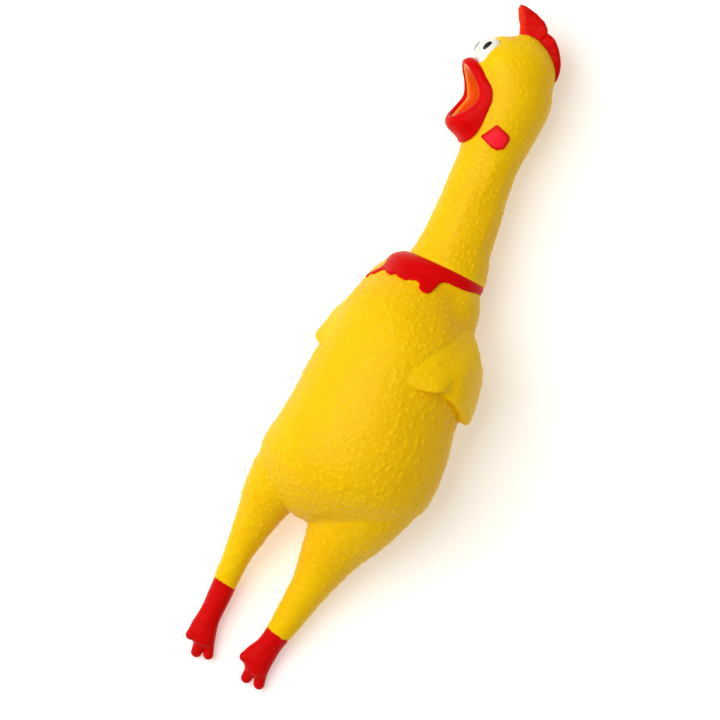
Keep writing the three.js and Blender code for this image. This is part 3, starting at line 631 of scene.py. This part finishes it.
def vinyl(name, light, deep, rough=0.4, soft=0.22, sss=0.15, radius=(1.0, 0.55, 0.1), sss_scale=0.0025, grain=0.010,
          paint_and_light=None, specular=0.45, tint=None, grade=None):
    m = bpy.data.materials.new(name)
    m.use_nodes = True
    nt = m.node_tree
    nt.nodes.clear()
    out = nt.nodes.new("ShaderNodeOutputMaterial")
    bs = nt.nodes.new("ShaderNodeBsdfPrincipled")
    nt.links.new(bs.outputs[0], out.inputs[0])
    at = nt.nodes.new("ShaderNodeAttribute")
    at.attribute_name = "rest"
    vec = at.outputs["Vector"]

    def noise(scale, detail=3.0, rough_=0.55):
        n = nt.nodes.new("ShaderNodeTexNoise")
        n.inputs["Scale"].default_value = scale
        n.inputs["Detail"].default_value = detail
        n.inputs["Roughness"].default_value = rough_
        nt.links.new(vec, n.inputs["Vector"])
        return n.outputs[0]

    def ramp(src, p0, p1, v0=0.0, v1=1.0):
        r = nt.nodes.new("ShaderNodeMapRange")
        r.inputs["From Min"].default_value = p0
        r.inputs["From Max"].default_value = p1
        r.inputs["To Min"].default_value = v0
        r.inputs["To Max"].default_value = v1
        nt.links.new(src, r.inputs["Value"])
        return r.outputs[0]

    def mix(fac, a, b):
        x = nt.nodes.new("ShaderNodeMix")
        x.data_type = "RGBA"
        if hasattr(fac, "node"):
            nt.links.new(fac, x.inputs[0])
        else:
            x.inputs[0].default_value = fac
        for s, i in ((a, 6), (b, 7)):
            if hasattr(s, "node"):
                nt.links.new(s, x.inputs[i])
            else:
                x.inputs[i].default_value = s
        return x.outputs[2]

    # broad mottling of the vinyl, then fine pigment speckle
    col = mix(ramp(noise(0.035, 2.0), 0.35, 0.7), light, tint or light)
    col = mix(ramp(noise(0.9, 4.0), 0.45, 0.75, 0.0, 0.16), col, deep)
    # painted shade: the colour is drawn towards the deep colour, up to half way, by a per-vertex attribute that is high
    # in the goosebump valleys
    hollow_shade_node = nt.nodes.new("ShaderNodeAttribute")
    hollow_shade_node.attribute_name = "hollow_shade"
    col = mix(ramp(hollow_shade_node.outputs["Fac"], 0.0, 1.0, 0.0, 0.5), col, deep)
    rsock = ramp(noise(0.25, 3.0), 0.3, 0.7, rough - 0.05, rough + 0.07)
    # a second colour by a per-vertex mask: real paint on the feet and the cheek rims, painted light on the comb's front
    if paint_and_light is not None:
        pa = nt.nodes.new("ShaderNodeAttribute")
        pa.attribute_name = "paint_and_light"
        wob = nt.nodes.new("ShaderNodeMath")
        wob.operation = "ADD"
        nt.links.new(pa.outputs["Fac"], wob.inputs[0])
        nt.links.new(ramp(noise(0.6, 3.0), 0.3, 0.7, -0.35, 0.35), wob.inputs[1])
        edge = ramp(wob.outputs[0], -soft, soft)
        col = mix(edge, col, mix(ramp(noise(0.5, 3.0), 0.3, 0.75), paint_and_light[0], paint_and_light[1]))
    # colour bands by depth in the mouth lining; they carry painted reflection and painted light, and this colour
    # replaces the shade mix above
    if grade is not None:
        ga = nt.nodes.new("ShaderNodeAttribute")
        ga.attribute_name = "paint_and_light"
        cr = nt.nodes.new("ShaderNodeValToRGB")
        cr.color_ramp.elements[0].position, cr.color_ramp.elements[0].color = grade[0]
        cr.color_ramp.elements[1].position, cr.color_ramp.elements[1].color = grade[-1]
        for gp, gc in grade[1:-1]:
            e_ = cr.color_ramp.elements.new(gp)
            e_.color = gc
        wg = nt.nodes.new("ShaderNodeMath")
        wg.operation = "ADD"
        nt.links.new(ga.outputs["Fac"], wg.inputs[0])
        nt.links.new(ramp(noise(0.5, 3.0), 0.3, 0.7, -0.02, 0.02), wg.inputs[1])
        nt.links.new(wg.outputs[0], cr.inputs[0])
        col = mix(ramp(noise(0.8, 4.0), 0.4, 0.75, 0.0, 0.2), cr.outputs[0], deep)
    nt.links.new(col, bs.inputs["Base Color"])
    nt.links.new(rsock, bs.inputs["Roughness"])
    bs.inputs["Subsurface Weight"].default_value = sss
    bs.inputs["Subsurface Radius"].default_value = radius
    bs.inputs["Subsurface Scale"].default_value = sss_scale
    bs.inputs["Specular IOR Level"].default_value = specular
    bs.inputs["IOR"].default_value = 1.5
    hgt = nt.nodes.new("ShaderNodeMath")
    hgt.operation = "ADD"
    nt.links.new(ramp(noise(2.6, 4.0), 0.2, 0.8), hgt.inputs[0])
    nt.links.new(ramp(noise(0.7, 2.0), 0.2, 0.8), hgt.inputs[1])
    bp = nt.nodes.new("ShaderNodeBump")
    bp.inputs["Strength"].default_value = 0.35
    bp.inputs["Distance"].default_value = grain / 1000.0 * 10
    nt.links.new(hgt.outputs[0], bp.inputs["Height"])
    nt.links.new(bp.outputs[0], bs.inputs["Normal"])
    return m


# the third yellow is a shaded amber, a shaded copy of the lit yellow: painted as shade into the goosebump valleys, and
# also the colour of the random speckle
Y_LIGHT, Y_TINT, Y_SHADE = lin(248, 206, 2), lin(244, 198, 0), lin(228, 154, 0)
R_LIGHT, R_DEEP = lin(220, 5, 6), lin(170, 1, 1)
yellow = vinyl("yellow_vinyl", Y_LIGHT, Y_SHADE, rough=0.43, tint=Y_TINT, specular=0.10)
yellow_feet = vinyl("yellow_vinyl_painted", Y_LIGHT, Y_SHADE, rough=0.43, tint=Y_TINT, paint_and_light=(lin(214, 8, 6), lin(200, 3, 4)), specular=0.06)
red = vinyl("red_paint", R_LIGHT, R_DEEP, rough=0.36, tint=lin(208, 3, 4), radius=(1.0, 0.12, 0.08), sss=0.06, specular=0.05)
# the comb's red, with a lighter orange-red as painted light on its lit front face
comb_red_lit_front = vinyl("comb_red_lit_front", lin(214, 6, 6), lin(166, 2, 2), rough=0.36, tint=lin(206, 4, 5), radius=(1.0, 0.15, 0.08), sss=0.08, specular=0.05, soft=0.7,
                 paint_and_light=(lin(240, 62, 14), lin(232, 40, 10)))
coral = vinyl("cheek_coral", lin(250, 30, 52), lin(214, 8, 16), rough=0.36, tint=lin(244, 22, 44), radius=(1.0, 0.2, 0.15), sss=0.08, specular=0.10,
              paint_and_light=(lin(222, 16, 8), lin(210, 10, 6)))
# the mouth lining's own orange, graded by depth: the red-orange bands at the rim and a little way in are painted red
# reflection of the lips, the light bands just inside the rim and deep in the throat are painted highlight and painted
# light
orange = vinyl("mouth_orange", lin(240, 128, 16), lin(206, 76, 4), rough=0.42, tint=lin(232, 112, 10), specular=0.2,
               grade=[(0.0, lin(236, 66, 10)), (0.10, lin(252, 160, 40)), (0.17, lin(250, 146, 28)), (0.27, lin(236, 84, 8)), (0.5, lin(240, 112, 12)), (0.8, lin(252, 166, 44))])
white = vinyl("eye_white", lin(248, 247, 243), lin(222, 218, 206), rough=0.28, sss=0.05, radius=(1, 1, 1), tint=lin(244, 243, 240), grain=0.004)
black = vinyl("pupil_black", lin(16, 14, 14), lin(8, 8, 8), rough=0.22, sss=0.0, tint=lin(22, 18, 18), grain=0.004)

# ------------------------------------------------------------------ body: torso, belly, legs and feet as one skin
P, Q = nets(body_field, (-30.5, -143.5, -2.0), (51.5, 53.6, 64.5), VOXEL_BODY)
N0 = vertex_normals(P, Q)
x, y, z = P[:, 0], P[:, 1], P[:, 2]
rel = P - MID
hb = rel @ BELLY
lb = rel @ LEFT
goose = bumps(P, 2.15, 0.56, 1)
fine = bumps(P, 1.25, 0.34, 2)
amp = 0.54 - 0.20 * step((hb - 16) / 16) * step((y + 60) / 30) * step((40 - y) / 20)
amp *= 1 - 0.62 * step((-72 - y) / 34)
floor_mask = step((z - 0.6) / 2.0)
neckring = step((47.0 - y) / 3.0)
foot = np.maximum(step((-103 - y) / 4) * (x < 0), step((-112 - y) / 4) * (x > 0))
amp *= (1 - foot) * floor_mask * neckring
disp = amp * (goose - 0.25) + 0.10 * fine * (amp > 0.02)
disp += (0.35 * soft_noise(P, 14, 3) + 0.10 * soft_noise(P, 3.1, 33)) * floor_mask * neckring * (1 - foot)
# the mould's parting line, a faint raised seam along each flank
seam_side = np.abs(hb + 3.0) < 6.0
disp += 0.22 * np.exp(-((hb + 3.0) / 0.35) ** 2) * (y > -60) * (y < 44) * floor_mask
P = P + N0 * disp[:, None]
N = vertex_normals(P, Q)
# painted shade: the valleys between the goosebumps are marked for a darker amber, more where the bumps are tall
hollow_shade = np.clip(1 - goose / 0.55, 0, 1) * np.clip(amp / 0.5, 0, 1) * 0.55
paint_and_light = np.where(x < 1.0, -106.3 - 0.11 * (x + 16) - y, -116.6 + 0.2 * (13 - x) * 0.9 - y)
attrs = {"hollow_shade": hollow_shade, "paint_and_light": paint_and_light}
C = P[Q].mean(1)
cx, cy, cz = C[:, 0], C[:, 1], C[:, 2]
XM = 1.0


def dent(p):
    r = p - MID
    h, l = r @ BELLY, r @ LEFT
    rho = np.sqrt((l / 27.0) ** 2 + ((p[:, 1] + 14) / 30.6) ** 2)
    # the wall stays put beside the wings, so that their edges don't come away from it
    clear = np.minimum(wing_field(p[:, 0], p[:, 1], p[:, 2], 1), wing_field(p[:, 0], p[:, 1], p[:, 2], -1))
    return step(1.25 * (1 - rho)) * step(h / 14.0) * step((clear - 0.8) / 10.0)


def hip(p):
    t = (-46 - p[:, 1]) / 24.0
    fx = np.clip(np.abs(p[:, 0] - XM) / (9 * np.clip((p[:, 1] + 68) / 10.0, 0.05, 1)), 0, 1)
    return step(np.clip(t, 0, 1) * fx)


leg_zone = cy < -46
is_r = leg_zone & (cx < XM)
is_l = leg_zone & ~is_r
foot_r = is_r & (cy < -102.5)
foot_l = is_l & (cy < -108.5)
belly_m = (dent(C) > 0) & ~leg_zone
groups = {
    "torso": ~leg_zone & ~belly_m,
    "belly": belly_m,
    "leg_r": is_r & ~foot_r,
    "leg_l": is_l & ~foot_l,
    "foot_r": foot_r,
    "foot_l": foot_l,
}
made = {}
for key, name, mat in (
    ("torso", "torso_vinyl", yellow),
    ("belly", "belly_vinyl", yellow),
    ("leg_r", "leg_right_vinyl", yellow),
    ("leg_l", "leg_left_vinyl", yellow),
    ("foot_r", "foot_right_painted", yellow_feet),
    ("foot_l", "foot_left_painted", yellow_feet),
):
    p_, q_, n_, a_ = take(P, Q, N, attrs, groups[key])
    made[key] = (add_mesh(name, p_, q_, mat, n_, a_), p_)

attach(made["torso"][0], "torso")
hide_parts("torso_skin")
ob, p_ = made["belly"]
weigh(ob, dent(p_))
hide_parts("belly_panel")
for key, leg_b, foot_b, y0 in (("r", "leg_right", "foot_right", -102.5), ("l", "leg_left", "foot_left", -108.5)):
    ob, p_ = made["leg_" + key]
    weigh(ob, hip(p_))
    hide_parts(leg_b)
    ob, p_ = made["foot_" + key]
    weigh(ob, step((y0 - p_[:, 1]) / 14.0))
    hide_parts(foot_b)

# ------------------------------------------------------------------ neck and head
P, Q = nets(head_field, (-20.5, 51.5, -1.0), (33.0, 158.5, 41.5), VOXEL_HEAD)
N0 = vertex_normals(P, Q)
x, y, z = P[:, 0], P[:, 1], P[:, 2]
f_, h_, s_ = face_coords(x, y, z)
goose = bumps(P, 2.1, 0.55, 4)
amp = 0.46 * np.ones(len(P)) * step((y - 54) / 2.5) * step((z - 0.7) / 2)
vy, vx = (h_ - MH) / MHH, s_ / MHS
rho = np.sqrt(vx**2 + vy**2)
near_face = step((f_ - 9) / 5) * step((1.5 - rho) / 0.3)
amp *= 1 - 0.6 * near_face
amp *= 1 - 0.75 * step((f_ - 8) / 5) * step((h_ - 10) / 4)
amp *= 0.75 + 0.25 * step((100 - y) / 12)
disp = amp * (goose - 0.25) + 0.07 * bumps(P, 1.2, 0.33, 5) * (amp > 0.02)
# soft lengthwise folds in the neck
wave = soft_noise(np.stack([x * 1.0, y * 0.22, z * 1.0], 1), 4.2, 6)
disp += 0.30 * wave * step((y - 56) / 6) * step((112 - y) / 12) * step((z - 0.7) / 2)
disp += 0.22 * soft_noise(P, 9, 8) * step((z - 0.7) / 2) * (1 - near_face)
P = P + N0 * disp[:, None]
N = vertex_normals(P, Q)
# painted shade: the goosebump valleys of the neck and head are marked for a darker amber
hollow_shade = np.clip(1 - goose / 0.55, 0, 1) * np.clip(amp / 0.4, 0, 1) * 0.5
attrs = {"hollow_shade": hollow_shade}
C = P[Q].mean(1)
cy = C[:, 1]
for name, m, kind in (
    ("neck_base_vinyl", cy < 57, None),
    ("neck_vinyl", (cy >= 57) & (cy < 84), "neck"),
    ("throat_vinyl", (cy >= 84) & (cy < 104.5), "head"),
    ("head_vinyl", cy >= 104.5, "ride"),
):
    p_, q_, n_, a_ = take(P, Q, N, attrs, m)
    ob = add_mesh(name, p_, q_, yellow, n_, a_)
    if kind is None:
        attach(ob, "neck_base")
        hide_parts("neck_lower")
    elif kind == "neck":
        weigh(ob, step((p_[:, 1] - 57) / 20.0))
        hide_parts("neck_upper")
    elif kind == "head":
        weigh(ob, step((p_[:, 1] - 86) / 18.0))
    else:
        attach(ob, "head")
        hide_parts("head_skin")

# ------------------------------------------------------------------ wings
for side, name, body in ((1, "wing_left", "wing_left"), (-1, "wing_right", "wing_right")):
    lo = (14, -7, 8) if side > 0 else (-31, -7, -1)
    hi = (52, 41, 68) if side > 0 else (8, 41, 56)
    P, Q = nets(lambda a, b, c: wing_field(a, b, c, side), (lo[0] - 4, lo[1], lo[2]), hi, 0.5)
    N0 = vertex_normals(P, Q)
    outer = step(torso_field(P[:, 0], P[:, 1], P[:, 2]) / 1.2)
    g = bumps(P, 2.15, 0.56, 7)
    d = (0.30 * (g - 0.25) + 0.3 * soft_noise(P, 8, 9)) * outer * step((P[:, 2] - 0.6) / 2)
    P = P + N0 * d[:, None]
    N = vertex_normals(P, Q)
    # the wing's goosebump valleys are marked for painted shade too
    ob = add_mesh(name + "_vinyl", P, Q, yellow, N, {"hollow_shade": np.clip(1 - g / 0.55, 0, 1) * 0.35 * outer})
    weigh(ob, step((38.0 - P[:, 1]) / 12.0))
    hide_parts(name)

# ------------------------------------------------------------------ comb
P, Q = nets(comb_field, (-10, 139, 11), (25, 171, 30), 0.4)
N0 = vertex_normals(P, Q)
P = P + N0 * (0.07 * soft_noise(P, 3.4, 12) + 0.12 * soft_noise(P, 7.0, 13))[:, None]
# painted light: the front edge and upper front of the comb are marked for the lighter orange-red of a lit face
fac = step((2.2 - P[:, 0] - (P[:, 1] - 158) * 0.42) / 6.5) * step((P[:, 1] - 152) / 6)
ob = add_mesh("comb_vinyl", P, Q, comb_red_lit_front, vertex_normals(P, Q), {"hollow_shade": np.zeros(len(P)), "paint_and_light": fac * 1.25 - 0.62})
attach(ob, "head")
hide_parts("comb")

# ------------------------------------------------------------------ collar band
SCALLOP = np.array([
    (-180, 47.6), (-150, 46.8), (-120, 43.0), (-100, 38.0), (-88, 36.0), (-76, 38.4), (-68, 41.6), (-62, 41.9),
    (-57, 41.2), (-50, 41.0), (-44, 42.2), (-38, 41.6), (-28, 41.4), (-21, 42.7), (-15.6, 43.1), (-11.4, 42.6), (-8.6, 40.8),
    (-4, 40.0), (1, 40.1), (4.4, 41.0), (6.4, 43.6), (9, 46.0), (12, 47.3), (19.4, 47.9), (42, 48.0), (73, 47.9), (90, 47.7),
    (140, 47.6), (180, 47.6),
])
nu = 600
az = -180 + 360.0 * np.arange(nu) / nu
i = np.clip(np.searchsorted(SCALLOP[:, 0], az, side="right") - 1, 0, len(SCALLOP) - 2)
u = (az - SCALLOP[i, 0]) / (SCALLOP[i + 1, 0] - SCALLOP[i, 0])
low = SCALLOP[i, 1] + (SCALLOP[i + 1, 1] - SCALLOP[i, 1]) * (0.5 - 0.5 * np.cos(np.pi * u))
ring_top = 53.1
prof = [(0.0, -0.6), (0.0, 0.35), (0.12, 0.85), (0.4, 1.25), (0.9, 1.5), (1.5, 1.6)]
rows = []
for dist, off in prof:
    rows.append((low + dist, off * np.ones(nu)))
for t in np.linspace(0.1, 0.9, 9):
    a, b = low + 1.5, ring_top - 0.9
    rows.append((a + (b - a) * t, np.full(nu, 1.62)))
for dist, off in [(0.6, 1.45), (0.2, 1.25), (-0.1, 0.95), (-0.25, 0.5), (-0.3, 0.0), (-0.2, -0.6)]:
    rows.append((np.full(nu, ring_top - dist), off * np.ones(nu)))
pts = []
r_ = np.radians(az)
for yy, off in rows:
    xc, zc, a, c = table_at(TORSO, yy)
    pts.append(np.stack([xc + (a + off) * np.sin(r_), yy, zc + (c + off) * np.cos(r_)], 1))
P = np.concatenate(pts)
P[:, 2] = np.maximum(P[:, 2], 0.15)
P = P + 0.08 * np.stack([soft_noise(P, 5, 20), 0 * P[:, 0], soft_noise(P, 5, 21)], 1)
Q = grid_faces(nu, len(rows))
ob = add_mesh("collar_vinyl", P, Q, red, None, {"hollow_shade": np.zeros(len(P))})
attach(ob, "torso")
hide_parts("collar_band")


# ------------------------------------------------------------------ lips and mouth
def face_pts(f, h, s):
    return FO + f[..., None] * FWD + h[..., None] * UPH + s[..., None] * SIDE


nv = 168
v = 2 * np.pi * np.arange(nv) / nv
sv, cv = np.sin(v), np.cos(v)
F0 = lip_f(sv)
nh, ns = sv / MHH, cv / MHS
nl = np.sqrt(nh**2 + ns**2)
nh, ns = nh / nl, ns / nl
P, Q = nets(lips_field, (-22.5, 99, 0), (12, 143, 39.5), 0.36)
N0 = vertex_normals(P, Q)
P = P + N0 * (0.10 * soft_noise(P, 2.6, 31) + 0.10 * soft_noise(P, 6, 32))[:, None]
ob = add_mesh("beak_lips_vinyl", P, Q, red, vertex_normals(P, Q), {"hollow_shade": np.zeros(len(P))})
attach(ob, "head")
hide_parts("beak_lips")

mid = M_CORNER + 3
rows = []
for q_, w_ in ((-0.2, 2.5), (-0.75, 2.45), (-1.25, 2.05), (-1.65, 1.4), (-1.95, 0.5), (-2.15, -0.4), (-2.3, -1.4)):
    rows.append((F0 + w_, MH + MHH * sv + nh * q_, MHS * cv + ns * q_))
for k, off in [(0.81, -3.0), (0.79, -5.0), (0.76, -7.5), (0.70, -10.0), (0.60, -12.6), (0.47, -14.7), (0.32, -16.0), (0.16, -16.8), (0.02, -17.0)]:
    a = max(0.0, 1 + off / 9.0)
    f = (F0 - mid) * a + mid + off
    rows.append((f, MH + MHH * sv * k, MHS * cv * k))
pts = [face_pts(*r) for r in rows]
P = np.concatenate(pts)
P = P + 0.15 * soft_noise(P, 3.5, 41)[:, None] * FWD
depth = np.repeat(np.linspace(0, 1, len(rows)), nv)
Q = grid_faces(nv, len(rows))[:, ::-1]
cap = len(P)
P = np.vstack([P, P[-nv:].mean(0)])
tri = np.stack([np.full(nv, cap), (len(rows) - 1) * nv + (np.arange(nv) + 1) % nv, (len(rows) - 1) * nv + np.arange(nv)], 1)
# the lining also asks for painted shade growing deeper into the mouth, but its depth bands replace that mix
ob = add_mixed("mouth_lining_vinyl", P, Q, tri, orange,
               {"hollow_shade": np.append(np.clip(depth * 1.6 - 0.3, 0, 1), 1), "paint_and_light": np.append(depth, 1.0)}, FWD)
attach(ob, "head")
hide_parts("mouth_lining")


# ------------------------------------------------------------------ eyes
def egg_mesh(c, r, nu=56, nv=36):
    th = np.linspace(0.0, np.pi, nv)[1:-1]
    ph = 2 * np.pi * np.arange(nu) / nu
    T, Ph = np.meshgrid(th, ph, indexing="ij")
    f = c[0] + r[0] * np.cos(T)
    h = c[1] + r[1] * np.sin(T) * np.sin(Ph)
    s = c[2] + r[2] * np.sin(T) * np.cos(Ph)
    P = face_pts(f, h, s).reshape(-1, 3)
    Q = grid_faces(nu, len(th))
    top = len(P)
    P = np.vstack([P, face_pts(np.array([c[0] + r[0]]), np.array([c[1]]), np.array([c[2]])), face_pts(np.array([c[0] - r[0]]), np.array([c[1]]), np.array([c[2]]))])
    a = np.arange(nu)
    fan = np.stack([np.full(nu, top), (a + 1) % nu, a], 1)
    last = (len(th) - 1) * nu
    fan2 = np.stack([np.full(nu, top + 1), last + a, last + (a + 1) % nu], 1)
    return P, Q, np.vstack([fan, fan2])


for sg, nm in ((1, "left"), (-1, "right")):
    c = (EYE[0], EYE[1], sg * EYE[2])
    P, Q, T = egg_mesh(c, EYE_R)
    ob = add_mixed("eye_white_%s_vinyl" % nm, P, Q, T, white, {"hollow_shade": np.zeros(len(P))})
    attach(ob, "head")
    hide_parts("eye_white_" + nm)
    # pupil: a thin oval lying on the white; both look a little to the toy's left
    nr, na = 9, 40
    rr = np.linspace(0, 1, nr)[1:]
    aa = 2 * np.pi * np.arange(na) / na
    R_, A_ = np.meshgrid(rr, aa, indexing="ij")
    hc, sc = (2.6, 1.85) if sg > 0 else (1.6, -0.35)
    hh = hc + 2.4 * R_ * np.sin(A_)
    ss = sc + 0.85 * R_ * np.cos(A_)
    lift = 0.17 * (1 - np.clip((R_ - 0.8) / 0.2, 0, 1) ** 2) - 0.25 * (R_ >= 0.999)
    k_ = 1 + lift / 4.4
    base = np.sqrt(np.maximum(1 - (hh / EYE_R[1]) ** 2 - (ss / EYE_R[2]) ** 2, 0.01))
    P = face_pts(c[0] + EYE_R[0] * base * k_, c[1] + hh * k_, c[2] + ss * k_).reshape(-1, 3)
    Q = grid_faces(na, len(rr))
    b0 = math.sqrt(1 - (hc / EYE_R[1]) ** 2 - (sc / EYE_R[2]) ** 2)
    P = np.vstack([P, face_pts(np.array([c[0] + EYE_R[0] * b0 * 1.039]), np.array([c[1] + hc * 1.039]), np.array([c[2] + sc * 1.039]))])
    a = np.arange(na)
    T = np.stack([np.full(na, len(P) - 1), (a + 1) % na, a], 1)
    ob = add_mixed("pupil_%s_paint" % nm, P, Q, T, black, {"hollow_shade": np.zeros(len(P))}, FWD)
    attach(ob, "head")
    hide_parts("pupil_" + nm)

# ------------------------------------------------------------------ cheek patches
PATCH = [(3.5, -9.4), (-3.2, -11.6), (-4.1, -13.4), (-3.7, -17.3), (-1.2, -19.2), (1.2, -19.2), (6.6, -16.8), (6.4, -16.0)]
pc = np.array(PATCH).mean(0)
ang = 2 * np.pi * np.arange(96) / 96
dirs = np.stack([np.cos(ang), np.sin(ang)], 1)
reach_p = np.zeros(96)
for k in range(96):
    a, b = 0.0, 14.0
    for _ in range(24):
        m_ = (a + b) / 2
        if poly_d(np.array([pc[0] + dirs[k, 0] * m_]), np.array([pc[1] + dirs[k, 1] * m_]), PATCH)[0] < 0:
            a = m_
        else:
            b = m_
    reach_p[k] = a
reach_p = (reach_p * 2 + np.roll(reach_p, 1) + np.roll(reach_p, -1)) / 4.0
for sg, nm in ((1, "left"), (-1, "right")):
    rows = [(t, 0.55) for t in np.linspace(0.06, 0.9, 12)] + [(0.95, 0.5), (0.985, 0.36), (1.0, 0.12), (1.0, -0.5)]
    pts = []
    for t, off in rows:
        ff = pc[0] + dirs[:, 0] * reach_p * t
        hh = pc[1] + dirs[:, 1] * reach_p * t
        a = np.full(96, 4.0)
        b = np.full(96, 26.0)
        for _ in range(26):
            m_ = (a + b) / 2
            p_ = face_pts(ff, hh, sg * m_)
            ins = head_field(p_[:, 0], p_[:, 1], np.maximum(p_[:, 2], 1.6)) < 0
            a = np.where(ins, m_, a)
            b = np.where(ins, b, m_)
        pts.append(face_pts(ff, hh, sg * (a + off + 0.06)))
    P = np.concatenate(pts)
    Q = grid_faces(96, len(rows))
    P = np.vstack([P, P[:96].mean(0)])
    k_ = np.arange(96)
    T = np.stack([np.full(96, len(P) - 1), (k_ + 1) % 96, k_], 1)
    P[:, 2] = np.maximum(P[:, 2], 0.2)
    tt = np.append(np.repeat([t for t, _ in rows], 96), 0)
    ob = add_mixed("cheek_patch_%s_paint" % nm, P, Q, T, coral, {"hollow_shade": np.zeros(len(P)), "paint_and_light": (tt - 0.74) * 4}, sg * SIDE)
    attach(ob, "head")
    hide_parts("cheek_patch_" + nm)

# ------------------------------------------------------------------ the squeaker, inside the neck: CAD solids, better materials
def moulded(name, light, deep, rough, grain, sss=0.04):
    m = bpy.data.materials.new(name)
    m.use_nodes = True
    nt = m.node_tree
    bs = nt.nodes["Principled BSDF"]
    tc = nt.nodes.new("ShaderNodeTexCoord")

    def noise(scale, detail):
        n = nt.nodes.new("ShaderNodeTexNoise")
        n.inputs["Scale"].default_value = scale
        n.inputs["Detail"].default_value = detail
        nt.links.new(tc.outputs["Object"], n.inputs["Vector"])
        return n.outputs[0]

    def ramp(src, p0, p1, v0=0.0, v1=1.0):
        r = nt.nodes.new("ShaderNodeMapRange")
        for key, v in (("From Min", p0), ("From Max", p1), ("To Min", v0), ("To Max", v1)):
            r.inputs[key].default_value = v
        nt.links.new(src, r.inputs["Value"])
        return r.outputs[0]

    mx = nt.nodes.new("ShaderNodeMix")
    mx.data_type = "RGBA"
    nt.links.new(ramp(noise(90.0, 3.0), 0.35, 0.7), mx.inputs[0])
    mx.inputs[6].default_value = light
    mx.inputs[7].default_value = deep
    nt.links.new(mx.outputs[2], bs.inputs["Base Color"])
    nt.links.new(ramp(noise(400.0, 3.0), 0.3, 0.7, rough - 0.05, rough + 0.08), bs.inputs["Roughness"])
    bs.inputs["Subsurface Weight"].default_value = sss
    bs.inputs["Subsurface Radius"].default_value = (1.0, 0.9, 0.8)
    bs.inputs["Subsurface Scale"].default_value = 0.001
    bp = nt.nodes.new("ShaderNodeBump")
    bp.inputs["Strength"].default_value = 0.3
    bp.inputs["Distance"].default_value = grain
    nt.links.new(noise(1800.0, 4.0), bp.inputs["Height"])
    nt.links.new(bp.outputs[0], bs.inputs["Normal"])
    return m


shell = moulded("squeaker_shell_white", lin(238, 236, 228), lin(220, 216, 204), 0.36, 0.00005)
block = moulded("squeaker_block_white", lin(228, 226, 218), lin(206, 202, 192), 0.42, 0.00008)
film = moulded("squeaker_reed_film", lin(236, 238, 236), lin(214, 220, 220), 0.2, 0.00002, 0.15)
for node, mat in (("squeaker_barrel", shell), ("squeaker_cap", shell), ("squeaker_reed_block", block), ("squeaker_wedge", block), ("squeaker_reed", film)):
    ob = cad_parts[node]
    if not ob.material_slots:
        ob.data.materials.append(mat)
    for slot_ in ob.material_slots:
        slot_.material = mat

# ------------------------------------------------------------------ floor, light
def plain(name, rgb, rough):
    m = bpy.data.materials.new(name)
    m.use_nodes = True
    b = m.node_tree.nodes["Principled BSDF"]
    b.inputs["Base Color"].default_value = rgb
    b.inputs["Roughness"].default_value = rough
    b.inputs["Specular IOR Level"].default_value = 0.1
    b.inputs["Emission Color"].default_value = (1, 1, 1, 1)
    b.inputs["Emission Strength"].default_value = 0.30
    return m


me = bpy.data.meshes.new("floor")
me.from_pydata([(-3, -3, -0.0004), (3, -3, -0.0004), (3, 3, -0.0004), (-3, 3, -0.0004)], [], [(0, 1, 2, 3)])
me.materials.append(plain("floor_white", (0.93, 0.93, 0.93, 1), 0.8))
floor = bpy.data.objects.new("floor", me)
scene.collection.objects.link(floor)

world = bpy.data.worlds.new("world")
scene.world = world
world.use_nodes = True
bg = world.node_tree.nodes["Background"]
bg.inputs[0].default_value = (1.0, 0.91, 0.76, 1)
bg.inputs[1].default_value = 0.325


def area(name, pos, size, power, target=(0, 0, 0.02), color=(1, 1, 1)):
    ld = bpy.data.lights.new(name, "AREA")
    ld.energy = power
    ld.size = size
    ld.color = color
    o = bpy.data.objects.new(name, ld)
    scene.collection.objects.link(o)
    o.location = pos
    o.rotation_euler = (Vector(target) - Vector(pos)).to_track_quat("-Z", "Y").to_euler()
    return o


key = (-RIGHT * 0.95 + UPV * 0.45).normalized()
area("key", tuple(key * 0.70 + Vector((0, 0, 1.15))), 1.25, 17.4)
fill = (RIGHT * 0.5 - UPV * 0.8).normalized()
area("fill", tuple(fill * 0.9 + Vector((0, 0, 1.1))), 0.9, 1.0)
